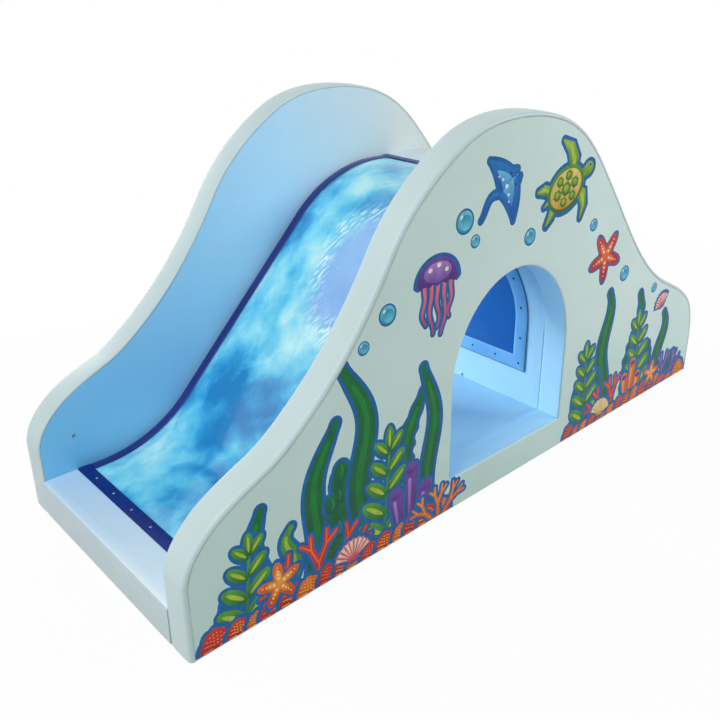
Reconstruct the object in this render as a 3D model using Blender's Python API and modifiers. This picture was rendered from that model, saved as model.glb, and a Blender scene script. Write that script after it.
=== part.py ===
"""Padded wave slide with a crawl tunnel: two foam walls, a curved water-mat slide, steps at the back.

Units are metres and +Z is up. The origin is on the floor at the centre of the slide, -X is the
landing end, +X the step end and -Y the near wall. Along the length, places are worked out as
distances from the landing end, and each is moved to the centred frame when a piece is made.
"""

import math

import bmesh
import bpy

# Overall size.
LENGTH = 2.600
WIDTH = 1.000
HEIGHT = 1.293
GAP = 0.0003

# Side walls: a plywood core with foam on both faces and a foam band along the edge.
WALL = 0.100
WALL_CORE = 0.018
EDGE_PAD = 0.018
EDGE_ROUND = 0.014
# Anchors of the wall's top line: share of the length, share of the height, heading in degrees.
WALL_ANCHORS = (
    (0.0000, 0.174, 90),
    (0.0285, 0.282, 43),
    (0.1040, 0.370, 26),
    (0.1560, 0.446, 41),
    (0.2730, 0.742, 60),
    (0.3810, 0.951, 31),
    (0.4850, 1.000, 0),
    (0.6135, 0.931, -34),
    (0.7000, 0.752, -50),
    (0.8670, 0.412, -30),
    (0.9690, 0.295, -42),
    (1.0000, 0.064, -90),
)
ANCHOR_STEPS = 5

# Steps and platform at the back.
CREST_Z = 1.000
STEPS = 4
TREAD = 0.200
STEP_SETBACK = 0.060
PLATFORM_DEPTH = 0.197
TREAD_PAD = 0.040
RISER_PAD = 0.030
TREAD_BOARD = 0.015
RISER_BOARD = 0.012
PAD_ROUND = 0.010

# Sliding bed: runout, concave arc, straight incline, convex arc, crest.
LANDING_TOP = 0.125
LANDING_DEPTH = 0.116
RUNOUT_FLAT = 0.084
RUNOUT_RADIUS = 0.450
CREST_RADIUS = 0.530
CREST_FLAT = 0.093
ARC_STEPS = 8
INCLINE_STEPS = 6
STRIP = 0.003
STRIP_WIDTH = 0.045
MAT_RIM = 0.022
MAT_CROWN = 0.016
DECK_FOAM = 0.020
DECK_BOARD = 0.012
SCREW_HEAD = 0.012
SCREW_RISE = 0.0025
SCREW_PITCH = 0.120

# Base and landing.
BASE_BOARD = 0.018
FRONT_RAIL_DEPTH = 0.080
LANDING_PAD = 0.032
LANDING_FACE = 0.030

# Plywood ribs that carry the bed and the steps.
RIB = 0.018
RIB_WEB = 0.025

# Crawl tunnel and the arches in both walls.
TUNNEL_LENGTH = 0.610
TUNNEL_TO_NOSE = 0.147
TUNNEL_BOARD = 0.015
TUNNEL_PAD = 0.030
TUNNEL_FLOOR = 0.115
CEILING_PANEL = 0.012
CEILING_Z = 0.820
CEILING_STEPS = 8
ARCH_SILL = 0.120
ARCH_SPRING = 0.440
ARCH_TOP = 0.795
ARCH_LINING = 0.008
ARCH_SETBACK = 0.004
ARCH_ROUND = 0.003
ARCH_STEPS = 14

# Window in the tunnel's rear wall.
WINDOW_HALF = 0.324
WINDOW_SILL = 0.255
WINDOW_SPRING = 0.455
WINDOW_STRIP = 0.057
WINDOW_PANE = 0.003
WINDOW_RING = 0.003
WINDOW_STEPS = 16

# Tie rods that draw the two walls together through the ribs.
ROD = 0.012
ROD_HOLE = 0.013
ROD_HEAD = 0.030
ROD_HEAD_THICK = 0.004
ROD_SIDES = 12

# Breather eyelets of the vinyl covers.
EYELET = 0.014
EYELET_HOLE = 0.006
EYELET_THICK = 0.0015
EYELET_SIDES = 16
EYELET_OVER_LANDING = 0.125
EYELET_OVER_FLOOR = 0.012

# Places that follow from the sizes above.
HALF_BED = WIDTH / 2 - WALL
CORE_OUT = WIDTH / 2 - (WALL - WALL_CORE) / 2
CORE_IN = CORE_OUT - WALL_CORE
FIRST_NOSE = LENGTH - STEP_SETBACK
PLATFORM_NOSE = FIRST_NOSE - STEPS * TREAD
STEP_RISE = CREST_Z / (STEPS + 1)
BED_END = PLATFORM_NOSE - PLATFORM_DEPTH
TUNNEL_REAR = PLATFORM_NOSE - TUNNEL_TO_NOSE
TUNNEL_FRONT = TUNNEL_REAR - TUNNEL_LENGTH
ARCH_X = (TUNNEL_FRONT + TUNNEL_REAR) / 2
DECK_STACK = STRIP + MAT_RIM + DECK_FOAM + DECK_BOARD + 3 * GAP
CEILING_DEPTH = DECK_STACK + RIB_WEB + CEILING_PANEL + 2 * GAP


def clear_scene():
    for obj in list(bpy.data.objects):
        bpy.data.objects.remove(obj, do_unlink=True)


def collection(name):
    made = bpy.data.collections.new(name)
    bpy.context.scene.collection.children.link(made)
    return made


def material(name, colour, roughness, metallic=0.0, coat=0.0):
    made = bpy.data.materials.new(name)
    made.use_nodes = True
    shader = made.node_tree.nodes["Principled BSDF"]
    shader.inputs["Base Color"].default_value = (*colour, 1.0)
    shader.inputs["Roughness"].default_value = roughness
    shader.inputs["Metallic"].default_value = metallic
    shader.inputs["Coat Weight"].default_value = coat
    made.diffuse_color = (*colour, 1.0)
    return made


def keep(obj, surface):
    """Puts an object in the slide's collection with its one material."""
    for holder in list(obj.users_collection):
        holder.objects.unlink(obj)
    parts.objects.link(obj)
    obj.data.materials.clear()
    obj.data.materials.append(surface)
    return obj


def flat_curve(name, outlines, thickness):
    """A 2D curve of closed outlines, an outline inside another being a hole, extruded evenly."""
    data = bpy.data.curves.new(name, "CURVE")
    data.dimensions = "2D"
    data.fill_mode = "BOTH"
    data.extrude = thickness / 2
    for outline in outlines:
        spline = data.splines.new("POLY")
        spline.points.add(len(outline) - 1)
        for point, (across, up) in zip(spline.points, outline):
            point.co = (across, up, 0.0, 1.0)
        spline.use_cyclic_u = True
    obj = bpy.data.objects.new(name, data)
    parts.objects.link(obj)
    return obj


def as_mesh(curve):
    """The curve object made a welded mesh object that keeps its name and place."""
    bpy.context.view_layer.update()
    graph = bpy.context.evaluated_depsgraph_get()
    mesh = bpy.data.meshes.new_from_object(curve.evaluated_get(graph))
    name = curve.name
    place = curve.matrix_world.copy()
    bpy.data.objects.remove(curve, do_unlink=True)
    work = bmesh.new()
    work.from_mesh(mesh)
    bmesh.ops.remove_doubles(work, verts=work.verts, dist=1e-6)
    bmesh.ops.dissolve_limit(work, angle_limit=0.001, verts=work.verts, edges=work.edges)
    bmesh.ops.recalc_face_normals(work, faces=work.faces)
    work.to_mesh(mesh)
    work.free()
    obj = bpy.data.objects.new(name, mesh)
    parts.objects.link(obj)
    obj.matrix_world = place
    mesh.name = name
    return obj


def side_plate(name, surface, outline, y_low, y_high, holes=()):
    """A flat piece whose outline lies along the length and up, between two distances across."""
    shifted = [[(x - LENGTH / 2, z) for x, z in line] for line in (outline, *holes)]
    curve = flat_curve(name, shifted, y_high - y_low)
    curve.location.y = (y_low + y_high) / 2
    curve.rotation_euler.x = math.pi / 2
    return keep(as_mesh(curve), surface)


def cross_plate(name, surface, outline, x_low, x_high, holes=()):
    """A flat piece whose outline lies across the slide and up, between two places along it."""
    curve = flat_curve(name, (outline, *holes), x_high - x_low)
    curve.location.x = (x_low + x_high) / 2 - LENGTH / 2
    curve.rotation_euler = (math.pi / 2, 0.0, math.pi / 2)
    return keep(as_mesh(curve), surface)


def box(name, surface, low, high):
    """A box between two corners, its x measured from the landing end."""
    size = [b - a for a, b in zip(low, high)]
    middle = [(a + b) / 2 for a, b in zip(low, high)]
    middle[0] -= LENGTH / 2
    bpy.ops.mesh.primitive_cube_add(size=1.0, location=middle)
    obj = bpy.context.object
    obj.name = obj.data.name = name
    for corner in obj.data.vertices:
        corner.co = [value * length for value, length in zip(corner.co, size)]
    return keep(obj, surface)


def cylinder_across(name, radius, y_low, y_high, x, z, sides):
    bpy.ops.mesh.primitive_cylinder_add(
        vertices=sides,
        radius=radius,
        depth=y_high - y_low,
        location=(x - LENGTH / 2, (y_low + y_high) / 2, z),
        rotation=(math.pi / 2, 0.0, 0.0),
    )
    obj = bpy.context.object
    obj.name = obj.data.name = name
    return obj


def boolean(obj, other, operation):
    """Cuts or joins another object, which is kept as a hidden helper."""
    modifier = obj.modifiers.new(operation.title(), "BOOLEAN")
    modifier.operation = operation
    modifier.solver = "EXACT"
    modifier.object = other
    if other.name not in cutters.objects:
        for holder in list(other.users_collection):
            holder.objects.unlink(other)
        cutters.objects.link(other)
    other.hide_render = True
    other.display_type = "WIRE"


def soften(obj, radius, segments=2, chosen=None):
    """Rounds the edges that the test picks, or every sharp one."""
    modifier = obj.modifiers.new("Bevel", "BEVEL")
    modifier.width = radius
    modifier.segments = segments
    modifier.use_clamp_overlap = True
    if chosen is None:
        modifier.limit_method = "ANGLE"
        modifier.angle_limit = math.radians(40)
        return
    modifier.limit_method = "WEIGHT"
    mesh = obj.data
    weights = mesh.attributes.new("bevel_weight_edge", "FLOAT", "EDGE")
    bpy.context.view_layer.update()
    for edge in mesh.edges:
        ends = [obj.matrix_world @ mesh.vertices[index].co for index in edge.vertices]
        weights.data[edge.index].value = 1.0 if chosen(*ends) else 0.0


def smooth(obj, angle=35):
    obj.data.shade_smooth()
    obj.data.set_sharp_from_angle(angle=math.radians(angle))


def wall_line(inset=0.0):
    """The wall's top line from the landing foot to the step foot, moved in by a distance."""
    anchors = [(u * LENGTH, v * HEIGHT, math.radians(turn)) for u, v, turn in WALL_ANCHORS]
    line = [(0.0, 0.0)]
    for (x0, z0, turn0), (x3, z3, turn3) in zip(anchors, anchors[1:]):
        chord = math.dist((x0, z0), (x3, z3))
        bend = abs(turn3 - turn0)
        reach = chord / 3 if bend < 1e-6 else chord * 2 / 3 * math.tan(bend / 4) / math.sin(bend / 2)
        x1, z1 = x0 + reach * math.cos(turn0), z0 + reach * math.sin(turn0)
        x2, z2 = x3 - reach * math.cos(turn3), z3 - reach * math.sin(turn3)
        for step in range(ANCHOR_STEPS):
            t = step / ANCHOR_STEPS
            a, b, c, d = (1 - t) ** 3, 3 * t * (1 - t) ** 2, 3 * t * t * (1 - t), t**3
            line.append((a * x0 + b * x1 + c * x2 + d * x3, a * z0 + b * z1 + c * z2 + d * z3))
    line += [anchors[-1][:2], (LENGTH, 0.0)]
    if not inset:
        return line
    moved = []
    for index, (x, z) in enumerate(line):
        before = line[max(index - 1, 0)]
        after = line[min(index + 1, len(line) - 1)]
        length = math.dist(before, after)
        run, rise = (after[0] - before[0]) / length, (after[1] - before[1]) / length
        moved.append((x + inset * rise, z - inset * run))
    moved[0] = (inset, 0.0)
    moved[-1] = (LENGTH - inset, 0.0)
    return moved


def arch_outline(grow=0.0):
    """The tunnel arch in a side wall: a sill, two jambs and half an ellipse, grown by a distance."""
    half = TUNNEL_LENGTH / 2 + grow
    rise = ARCH_TOP - ARCH_SPRING + grow
    points = [(ARCH_X - half, ARCH_SILL - grow), (ARCH_X + half, ARCH_SILL - grow)]
    for step in range(ARCH_STEPS + 1):
        angle = math.pi * step / ARCH_STEPS
        points.append((ARCH_X + half * math.cos(angle), ARCH_SPRING + rise * math.sin(angle)))
    return points


def window_outline(shrink=0.0):
    """The tunnel window: a sill, two sides and a half circle, made smaller by a distance."""
    half = WINDOW_HALF - shrink
    points = [(-half, WINDOW_SILL + shrink), (half, WINDOW_SILL + shrink)]
    for step in range(WINDOW_STEPS + 1):
        angle = math.pi * step / WINDOW_STEPS
        points.append((half * math.cos(angle), WINDOW_SPRING + half * math.sin(angle)))
    return points


def bed_shape():
    """The bed's two arc centres and the incline's angle, from the tangent that both arcs share."""
    low = (LANDING_DEPTH + RUNOUT_FLAT, LANDING_TOP + RUNOUT_RADIUS)
    high = (BED_END - CREST_FLAT, CREST_Z - CREST_RADIUS)
    reach = math.dist(low, high)
    lean = math.atan2(high[1] - low[1], high[0] - low[0])
    return low, high, lean + math.asin((RUNOUT_RADIUS + CREST_RADIUS) / reach)


def bed_line(depth, incline_steps=1):
    """Points along the bed at a depth under its top line, each with its distance from the front."""
    low, high, angle = bed_shape()
    line = [(LANDING_DEPTH, LANDING_TOP - depth)]
    for step in range(ARC_STEPS + 1):
        turn = angle * step / ARC_STEPS
        radius = RUNOUT_RADIUS + depth
        line.append((low[0] + radius * math.sin(turn), low[1] - radius * math.cos(turn)))
    radius = CREST_RADIUS - depth
    foot = line[-1]
    head = (high[0] - radius * math.sin(angle), high[1] + radius * math.cos(angle))
    for step in range(1, incline_steps):
        share = step / incline_steps
        line.append(tuple(a + (b - a) * share for a, b in zip(foot, head)))
    for step in range(ARC_STEPS + 1):
        turn = angle * (1 - step / ARC_STEPS)
        line.append((high[0] - radius * math.sin(turn), high[1] + radius * math.cos(turn)))
    line.append((BED_END, CREST_Z - depth))
    return line


def bed_height(x, depth):
    """How high the line at a depth under the bed lies at one place along the slide."""
    low, high, angle = bed_shape()
    low_radius, high_radius = RUNOUT_RADIUS + depth, CREST_RADIUS - depth
    past_low, before_high = x - low[0], high[0] - x
    if past_low <= 0:
        return LANDING_TOP - depth
    if before_high <= 0:
        return CREST_Z - depth
    if past_low < low_radius * math.sin(angle):
        return low[1] - math.sqrt(low_radius**2 - past_low**2)
    if before_high < high_radius * math.sin(angle):
        return high[1] + math.sqrt(high_radius**2 - before_high**2)
    foot = low[1] - low_radius * math.cos(angle)
    return foot + (past_low - low_radius * math.sin(angle)) * math.tan(angle)


def ceiling_line(extra=0.0, x_low=None, x_high=None):
    """The tunnel ceiling, raised by a distance: flat, or parallel to the bed where that is lower."""
    first = TUNNEL_FRONT - TUNNEL_PAD - TUNNEL_BOARD
    last = TUNNEL_REAR + TUNNEL_PAD + TUNNEL_BOARD
    knots = []
    for step in range(CEILING_STEPS + 1):
        x = first - GAP + (last - first + 2 * GAP) * step / CEILING_STEPS
        knots.append((x, min(CEILING_Z + extra, bed_height(x, CEILING_DEPTH - extra))))
    x_low = first if x_low is None else x_low
    x_high = last if x_high is None else x_high
    inside = [(x, z) for x, z in knots if x_low + GAP / 2 < x < x_high - GAP / 2]
    return [(x_low, height_on(knots, x_low)), *inside, (x_high, height_on(knots, x_high))]


def height_on(knots, x):
    """The height at a place on a line of points that runs along the slide."""
    for (x0, z0), (x1, z1) in zip(knots, knots[1:]):
        if x <= x1:
            break
    return z0 + (z1 - z0) * (x - x0) / (x1 - x0)


def nose(step):
    """How far from the landing end the front of a step lies, counted from 1 at the floor."""
    return FIRST_NOSE - (step - 1) * TREAD


def rod_places():
    """Where the tie rods cross: under the incline, under the crest and under two steps."""
    low, high, _ = bed_shape()
    web_low = min(z for _, z in ceiling_line(CEILING_PANEL, high[0] - ROD_HEAD, high[0] + ROD_HEAD))
    front = (low[0] + TUNNEL_FRONT) / 2 + ROD_HEAD
    return {
        "front": (front, (BASE_BOARD + bed_height(front, DECK_STACK)) / 2),
        "crest": (high[0], (web_low + CREST_Z - DECK_STACK) / 2),
        "upper_step": ((nose(STEPS + 1) + nose(STEPS)) / 2, 2 * STEP_RISE),
        "lower_step": ((nose(STEPS - 1) + nose(STEPS - 2)) / 2, STEP_RISE),
    }


def ring_outline(diameter, across, up):
    turns = [2 * math.pi * step / EYELET_SIDES for step in range(EYELET_SIDES)]
    return [(across + diameter / 2 * math.cos(t), up + diameter / 2 * math.sin(t)) for t in turns]


def mirrored(y_low, y_high, side):
    return (y_low, y_high) if side > 0 else (-y_high, -y_low)


def along(line):
    """A test for the edges that follow an outline at one distance across the slide."""
    placed = [(x - LENGTH / 2, z) for x, z in line]

    def found(start, end):
        level = abs(start.y - end.y) < GAP
        return level and all(min(math.dist((p.x, p.z), q) for q in placed) < GAP for p in (start, end))

    return found


def make_wall(side, label):
    arch = arch_outline()
    lined = arch_outline(ARCH_LINING + GAP)
    band_in = wall_line(EDGE_PAD)
    body = wall_line(EDGE_PAD + GAP)
    core = side_plate(f"{label}_wall_core", plywood, body, *mirrored(CORE_IN, CORE_OUT, side), [lined])
    outer = side_plate(
        f"{label}_wall_outer_pad", white_vinyl, body, *mirrored(CORE_OUT + GAP, WIDTH / 2, side), [lined]
    )
    inner = side_plate(
        f"{label}_wall_inner_pad", blue_vinyl, body, *mirrored(HALF_BED, CORE_IN - GAP, side), [lined]
    )
    band = side_plate(
        f"{label}_wall_edge_pad",
        white_vinyl,
        wall_line() + band_in[::-1],
        *mirrored(HALF_BED, WIDTH / 2, side),
    )
    soften(band, EDGE_ROUND, chosen=along(wall_line()))
    smooth(band)
    lining = side_plate(
        f"{label}_arch_lining",
        blue_vinyl,
        arch_outline(ARCH_LINING),
        *mirrored(HALF_BED, WIDTH / 2 - ARCH_SETBACK, side),
        [arch],
    )
    soften(lining, ARCH_ROUND, segments=1, chosen=along(arch))
    smooth(lining)
    return core, outer, inner


def make_base():
    edge = HALF_BED - GAP
    box("base_board", plywood, (LANDING_FACE, -edge, 0), (FIRST_NOSE - RISER_PAD, edge, BASE_BOARD))
    rail_top = LANDING_TOP - LANDING_PAD
    box(
        "front_rail",
        timber,
        (LANDING_FACE + GAP, -edge, BASE_BOARD + GAP),
        (LANDING_FACE + FRONT_RAIL_DEPTH, edge, rail_top - GAP),
    )
    pad_end = LANDING_DEPTH - GAP
    outline = [
        (0.0, 0.0),
        (LANDING_FACE - GAP, 0.0),
        (LANDING_FACE - GAP, rail_top),
        (pad_end, rail_top),
        (pad_end, LANDING_TOP),
        (0.0, LANDING_TOP),
    ]
    pad = side_plate("landing_pad", pale_vinyl, outline, -edge, edge)
    soften(pad, PAD_ROUND, chosen=lambda a, b: on_corner(a, b, 0.0, LANDING_TOP, edge))
    smooth(pad)
    box(
        "tunnel_floor_pad",
        blue_vinyl,
        (TUNNEL_FRONT - TUNNEL_PAD, -edge, BASE_BOARD + GAP),
        (TUNNEL_REAR + TUNNEL_PAD, edge, TUNNEL_FLOOR),
    )


def on_corner(start, end, x, z, half_width):
    """Whether an edge runs straight across the slide at a corner of its outline."""
    across = abs(abs(start.y - end.y) - 2 * half_width) < GAP
    return across and math.dist((start.x + LENGTH / 2, start.z), (x, z)) < GAP


def make_bed():
    edge = HALF_BED - GAP
    foam_top = STRIP + MAT_RIM + 2 * GAP
    board_top = foam_top + DECK_FOAM + GAP
    board_under = board_top + DECK_BOARD
    side_plate(
        "slide_deck_board", plywood, bed_line(board_top) + bed_line(board_under)[::-1], -edge, edge
    )
    side_plate(
        "slide_deck_foam",
        foam,
        bed_line(foam_top) + bed_line(foam_top + DECK_FOAM)[::-1],
        -edge,
        edge,
    )
    make_mat(edge)
    top, under = bed_line(0.0), bed_line(STRIP)
    inner_front, inner_end = LANDING_DEPTH + STRIP_WIDTH, BED_END - STRIP_WIDTH
    side_top = [(inner_front + GAP, LANDING_TOP), *top[1:-1], (inner_end - GAP, CREST_Z)]
    side_under = [(inner_front + GAP, LANDING_TOP - STRIP), *under[1:-1], (inner_end - GAP, CREST_Z - STRIP)]
    for side, label in ((-1, "near"), (1, "far")):
        side_plate(
            f"{label}_border_strip",
            navy_vinyl,
            side_top + side_under[::-1],
            *mirrored(edge - STRIP_WIDTH, edge, side),
        )
    ends = {
        "front_border_strip": (LANDING_DEPTH, inner_front, LANDING_TOP),
        "crest_border_strip": (inner_end, BED_END, CREST_Z),
    }
    for name, (x_low, x_high, top_z) in ends.items():
        strip = box(name, navy_vinyl, (x_low, -edge, top_z - STRIP), (x_high, edge, top_z))
        count = int(2 * (edge - STRIP_WIDTH / 2) / SCREW_PITCH)
        places = [(index - (count - 1) / 2) * SCREW_PITCH for index in range(count)]
        heads = [((x_low + x_high) / 2 - LENGTH / 2, y, top_z) for y in places]
        boolean(strip, screw_heads(f"{name}_screws", heads), "UNION")


def screw_heads(name, places, upright=True):
    """One helper mesh of low screw heads, half sunk so that a union holds them, facing up or -X."""
    work = bmesh.new()
    for place in places:
        made = bmesh.ops.create_cone(
            work,
            cap_ends=True,
            segments=8,
            radius1=SCREW_HEAD / 2,
            radius2=SCREW_HEAD / 2 - SCREW_RISE / 2,
            depth=2 * SCREW_RISE,
        )
        for corner in made["verts"]:
            x, y, z = corner.co
            if not upright:
                x, z = -z, x
            corner.co = (x + place[0], y + place[1], z + place[2])
    bmesh.ops.recalc_face_normals(work, faces=work.faces)
    mesh = bpy.data.meshes.new(name)
    work.to_mesh(mesh)
    work.free()
    obj = bpy.data.objects.new(name, mesh)
    cutters.objects.link(obj)
    return obj


def make_mat(edge):
    """The water mattress: a grid on its underside, thickened to a crown that the strips hold down."""
    under = bed_line(STRIP + GAP + MAT_RIM, INCLINE_STEPS)
    inner_front, inner_end = LANDING_DEPTH + STRIP_WIDTH, BED_END - STRIP_WIDTH
    under.insert(1, (inner_front, under[0][1]))
    under.insert(-1, (inner_end, under[-1][1]))
    shares = (0.0, 0.15, 0.5, 1.0)
    held = edge - STRIP_WIDTH
    half = [edge] + [held * (1 - share) for share in shares]
    across = [-y for y in half] + half[-2::-1]
    grid = bmesh.new()
    rows, columns = len(under) - 1, len(across) - 1
    bmesh.ops.create_grid(grid, x_segments=rows, y_segments=columns, size=0.5)
    weights = {}
    for corner in grid.verts:
        row = round((corner.co.x + 0.5) * rows)
        column = round((corner.co.y + 0.5) * columns)
        x, z = under[row]
        y = across[column]
        corner.co = (x - LENGTH / 2, y, z)
        along = min(max((x - inner_front) / (inner_end - inner_front), 0.0), 1.0)
        side = max(1 - abs(y) / held, 0.0)
        weights[corner.index] = math.sin(math.pi * along) ** 0.35 * min(1.0, side * 2.2) ** 0.6
    mesh = bpy.data.meshes.new("water_mattress")
    grid.to_mesh(mesh)
    grid.free()
    mat = bpy.data.objects.new("water_mattress", mesh)
    parts.objects.link(mat)
    group = mat.vertex_groups.new(name="crown")
    for index, weight in weights.items():
        group.add([index], weight, "REPLACE")
    thicken = mat.modifiers.new("Solidify", "SOLIDIFY")
    thicken.thickness = MAT_RIM + MAT_CROWN
    thicken.offset = 1.0
    thicken.vertex_group = "crown"
    thicken.thickness_vertex_group = MAT_RIM / (MAT_RIM + MAT_CROWN)
    keep(mat, water_vinyl)
    smooth(mat)


def make_ribs():
    """Three plywood ribs: the bed line, the platform and the steps above, the tunnel cut out."""
    top = bed_line(DECK_STACK + GAP)
    front = LANDING_FACE + FRONT_RAIL_DEPTH + GAP
    foot = BASE_BOARD + GAP
    step_drop = TREAD_PAD + TREAD_BOARD + 2 * GAP
    board_back = RISER_PAD + RISER_BOARD + 2 * GAP
    outline = [(front, foot), (front, top[0][1]), *top]
    outline.append((BED_END, CREST_Z - step_drop))
    for step in range(STEPS + 1, 0, -1):
        top_z = step * STEP_RISE - step_drop
        if step <= STEPS:
            outline.append((nose(step + 1) - board_back, top_z))
        outline.append((nose(step) - board_back, top_z))
    outline.append((FIRST_NOSE - board_back, foot))
    x_low = TUNNEL_FRONT - TUNNEL_PAD - TUNNEL_BOARD - GAP
    x_high = TUNNEL_REAR + TUNNEL_PAD + TUNNEL_BOARD + GAP
    chamber = ceiling_line(CEILING_PANEL + 2 * GAP, x_low, x_high)
    outline += [(x_high, foot), *chamber[::-1], (x_low, foot)]
    near_side = HALF_BED - GAP - RIB
    ribs = []
    for label, y_low in (("near", -HALF_BED + GAP), ("centre", -RIB / 2), ("far", near_side)):
        ribs.append(side_plate(f"{label}_rib", plywood, outline, y_low, y_low + RIB))
    return ribs


def make_tunnel():
    edge = HALF_BED - GAP
    side_plate(
        "tunnel_ceiling_panel",
        blue_vinyl,
        ceiling_line() + ceiling_line(CEILING_PANEL)[::-1],
        -edge,
        edge,
    )
    bottom = BASE_BOARD + GAP
    on_floor = TUNNEL_FLOOR + GAP
    pad_front = TUNNEL_FRONT - TUNNEL_PAD
    layers = {
        "tunnel_front_board": (plywood, pad_front - TUNNEL_BOARD, pad_front - GAP, bottom),
        "tunnel_front_pad": (blue_vinyl, pad_front, TUNNEL_FRONT, on_floor),
    }
    for name, (surface, x_low, x_high, z_low) in layers.items():
        heights = [(x, z - GAP) for x, z in ceiling_line(0.0, x_low, x_high)]
        side_plate(name, surface, [(x_high, z_low), (x_low, z_low), *heights], -edge, edge)
    pad_rear = TUNNEL_REAR + TUNNEL_PAD
    opening = window_outline(WINDOW_STRIP)
    layers = {
        "tunnel_rear_pad": (blue_vinyl, TUNNEL_REAR, pad_rear, on_floor),
        "tunnel_rear_board": (plywood, pad_rear + GAP, pad_rear + TUNNEL_BOARD, bottom),
    }
    for name, (surface, x_low, x_high, z_low) in layers.items():
        top_z = min(z for _, z in ceiling_line(0.0, x_low, x_high)) - GAP
        outline = [(-edge, z_low), (edge, z_low), (edge, top_z), (-edge, top_z)]
        cross_plate(name, surface, outline, x_low, x_high, [opening])
    pane_face = TUNNEL_REAR - GAP - WINDOW_PANE
    cross_plate("window_pane", blue_pane, window_outline(SCREW_RISE), pane_face, TUNNEL_REAR - GAP)
    ring_back = pane_face - GAP
    ring = cross_plate(
        "window_ring",
        pale_strip,
        window_outline(),
        ring_back - WINDOW_RING,
        ring_back,
        [window_outline(WINDOW_STRIP)],
    )
    heads = [(ring_back - WINDOW_RING - LENGTH / 2, y, z) for y, z in ring_screws()]
    boolean(ring, screw_heads("window_ring_screws", heads, upright=False), "UNION")


def ring_screws():
    """Screw places round the window ring, evenly along its sill, its sides and its arch."""
    half = WINDOW_HALF - WINDOW_STRIP / 2
    sill = WINDOW_SILL + WINDOW_STRIP / 2
    places = []
    count = round(2 * half / SCREW_PITCH)
    places += [(-half + 2 * half * step / count, sill) for step in range(count + 1)]
    rows = max(1, round((WINDOW_SPRING - sill) / SCREW_PITCH))
    for step in range(1, rows + 1):
        up = sill + (WINDOW_SPRING - sill) * step / rows
        places += [(-half, up), (half, up)]
    count = round(math.pi * half / SCREW_PITCH)
    for step in range(1, count):
        angle = math.pi * step / count
        places.append((half * math.cos(angle), WINDOW_SPRING + half * math.sin(angle)))
    return places


def make_steps():
    edge = HALF_BED - GAP
    for step in range(1, STEPS + 2):
        top_z = step * STEP_RISE
        front = nose(step)
        board_front = front - RISER_PAD
        is_platform = step > STEPS
        back = BED_END + GAP if is_platform else nose(step + 1) - RISER_PAD + GAP
        leg_foot = 0.0 if step == 1 else top_z - STEP_RISE + GAP
        outline = [
            (back, top_z - TREAD_PAD),
            (board_front + GAP, top_z - TREAD_PAD),
            (board_front + GAP, leg_foot),
            (front, leg_foot),
            (front, top_z),
            (back, top_z),
        ]
        name = "platform_pad" if is_platform else f"step_{step}_pad"
        pad = side_plate(name, pale_vinyl if is_platform else white_vinyl, outline, -edge, edge)
        soften(pad, PAD_ROUND, chosen=lambda a, b, x=front, z=top_z: on_corner(a, b, x, z, edge))
        smooth(pad)
        board_top = top_z - TREAD_PAD - GAP
        board_back = BED_END + GAP if is_platform else nose(step + 1) - RISER_PAD - RISER_BOARD
        name = "platform_board" if is_platform else f"tread_{step}_board"
        box(name, plywood, (board_back, -edge, board_top - TREAD_BOARD), (board_front, edge, board_top))
        riser_foot = BASE_BOARD + GAP
        if step > 1:
            riser_foot = top_z - STEP_RISE - TREAD_PAD
        box(
            f"riser_{step}_board",
            plywood,
            (board_front - RISER_BOARD, -edge, riser_foot),
            (board_front, edge, board_top - TREAD_BOARD - GAP),
        )


def make_rods(cores, outers, inners, ribs):
    """Tie rods with a washer head on the outer face of each core, through clearance holes."""
    for label, (x, z) in rod_places().items():
        rod = cylinder_across(f"tie_rod_{label}", ROD / 2, -CORE_OUT, CORE_OUT, x, z, ROD_SIDES)
        keep(rod, steel)
        smooth(rod)
        hole = cylinder_across(f"rod_hole_{label}", ROD_HOLE / 2, -WIDTH, WIDTH, x, z, ROD_SIDES)
        for pierced in (*cores, *inners, *ribs):
            boolean(pierced, hole, "DIFFERENCE")
        for side, outer in zip((-1, 1), outers):
            low, high = mirrored(CORE_OUT + GAP, CORE_OUT + GAP + ROD_HEAD_THICK, side)
            head = cylinder_across(f"rod_head_{label}_{side}", ROD_HEAD / 2, low, high, x, z, ROD_SIDES)
            reach_low, reach_high = mirrored(CORE_OUT - WALL_CORE / 2, CORE_OUT + GAP * 2, side)
            stem = cylinder_across(f"rod_stem_{label}_{side}", ROD / 2, reach_low, reach_high, x, z, ROD_SIDES)
            boolean(rod, stem, "UNION")
            boolean(rod, head, "UNION")
            low, high = mirrored(CORE_OUT, CORE_OUT + ROD_HEAD_THICK + 3 * GAP, side)
            pocket = cylinder_across(
                f"rod_pocket_{label}_{side}", ROD_HEAD / 2 + GAP * 2, low, high, x, z, ROD_SIDES
            )
            boolean(outer, pocket, "DIFFERENCE")


def make_eyelets():
    """Breather eyelets: one low on each wall beside the landing, one at the foot of each tunnel end."""
    place = (LANDING_DEPTH + EYELET_HOLE, LANDING_TOP + EYELET_OVER_LANDING)
    outline, hole = ring_outline(EYELET, *place), ring_outline(EYELET_HOLE, *place)
    face = HALF_BED - GAP
    for side, label in ((-1, "near"), (1, "far")):
        span = mirrored(face - EYELET_THICK, face, side)
        smooth(side_plate(f"{label}_wall_eyelet", steel, outline, *span, [hole]))
    place = (0.0, TUNNEL_FLOOR + EYELET_OVER_FLOOR)
    outline, hole = ring_outline(EYELET, *place), ring_outline(EYELET_HOLE, *place)
    front = (TUNNEL_FRONT + GAP, TUNNEL_FRONT + GAP + EYELET_THICK)
    rear = (TUNNEL_REAR - GAP - EYELET_THICK, TUNNEL_REAR - GAP)
    for label, span in (("front", front), ("rear", rear)):
        smooth(cross_plate(f"tunnel_{label}_eyelet", steel, outline, *span, [hole]))


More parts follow.
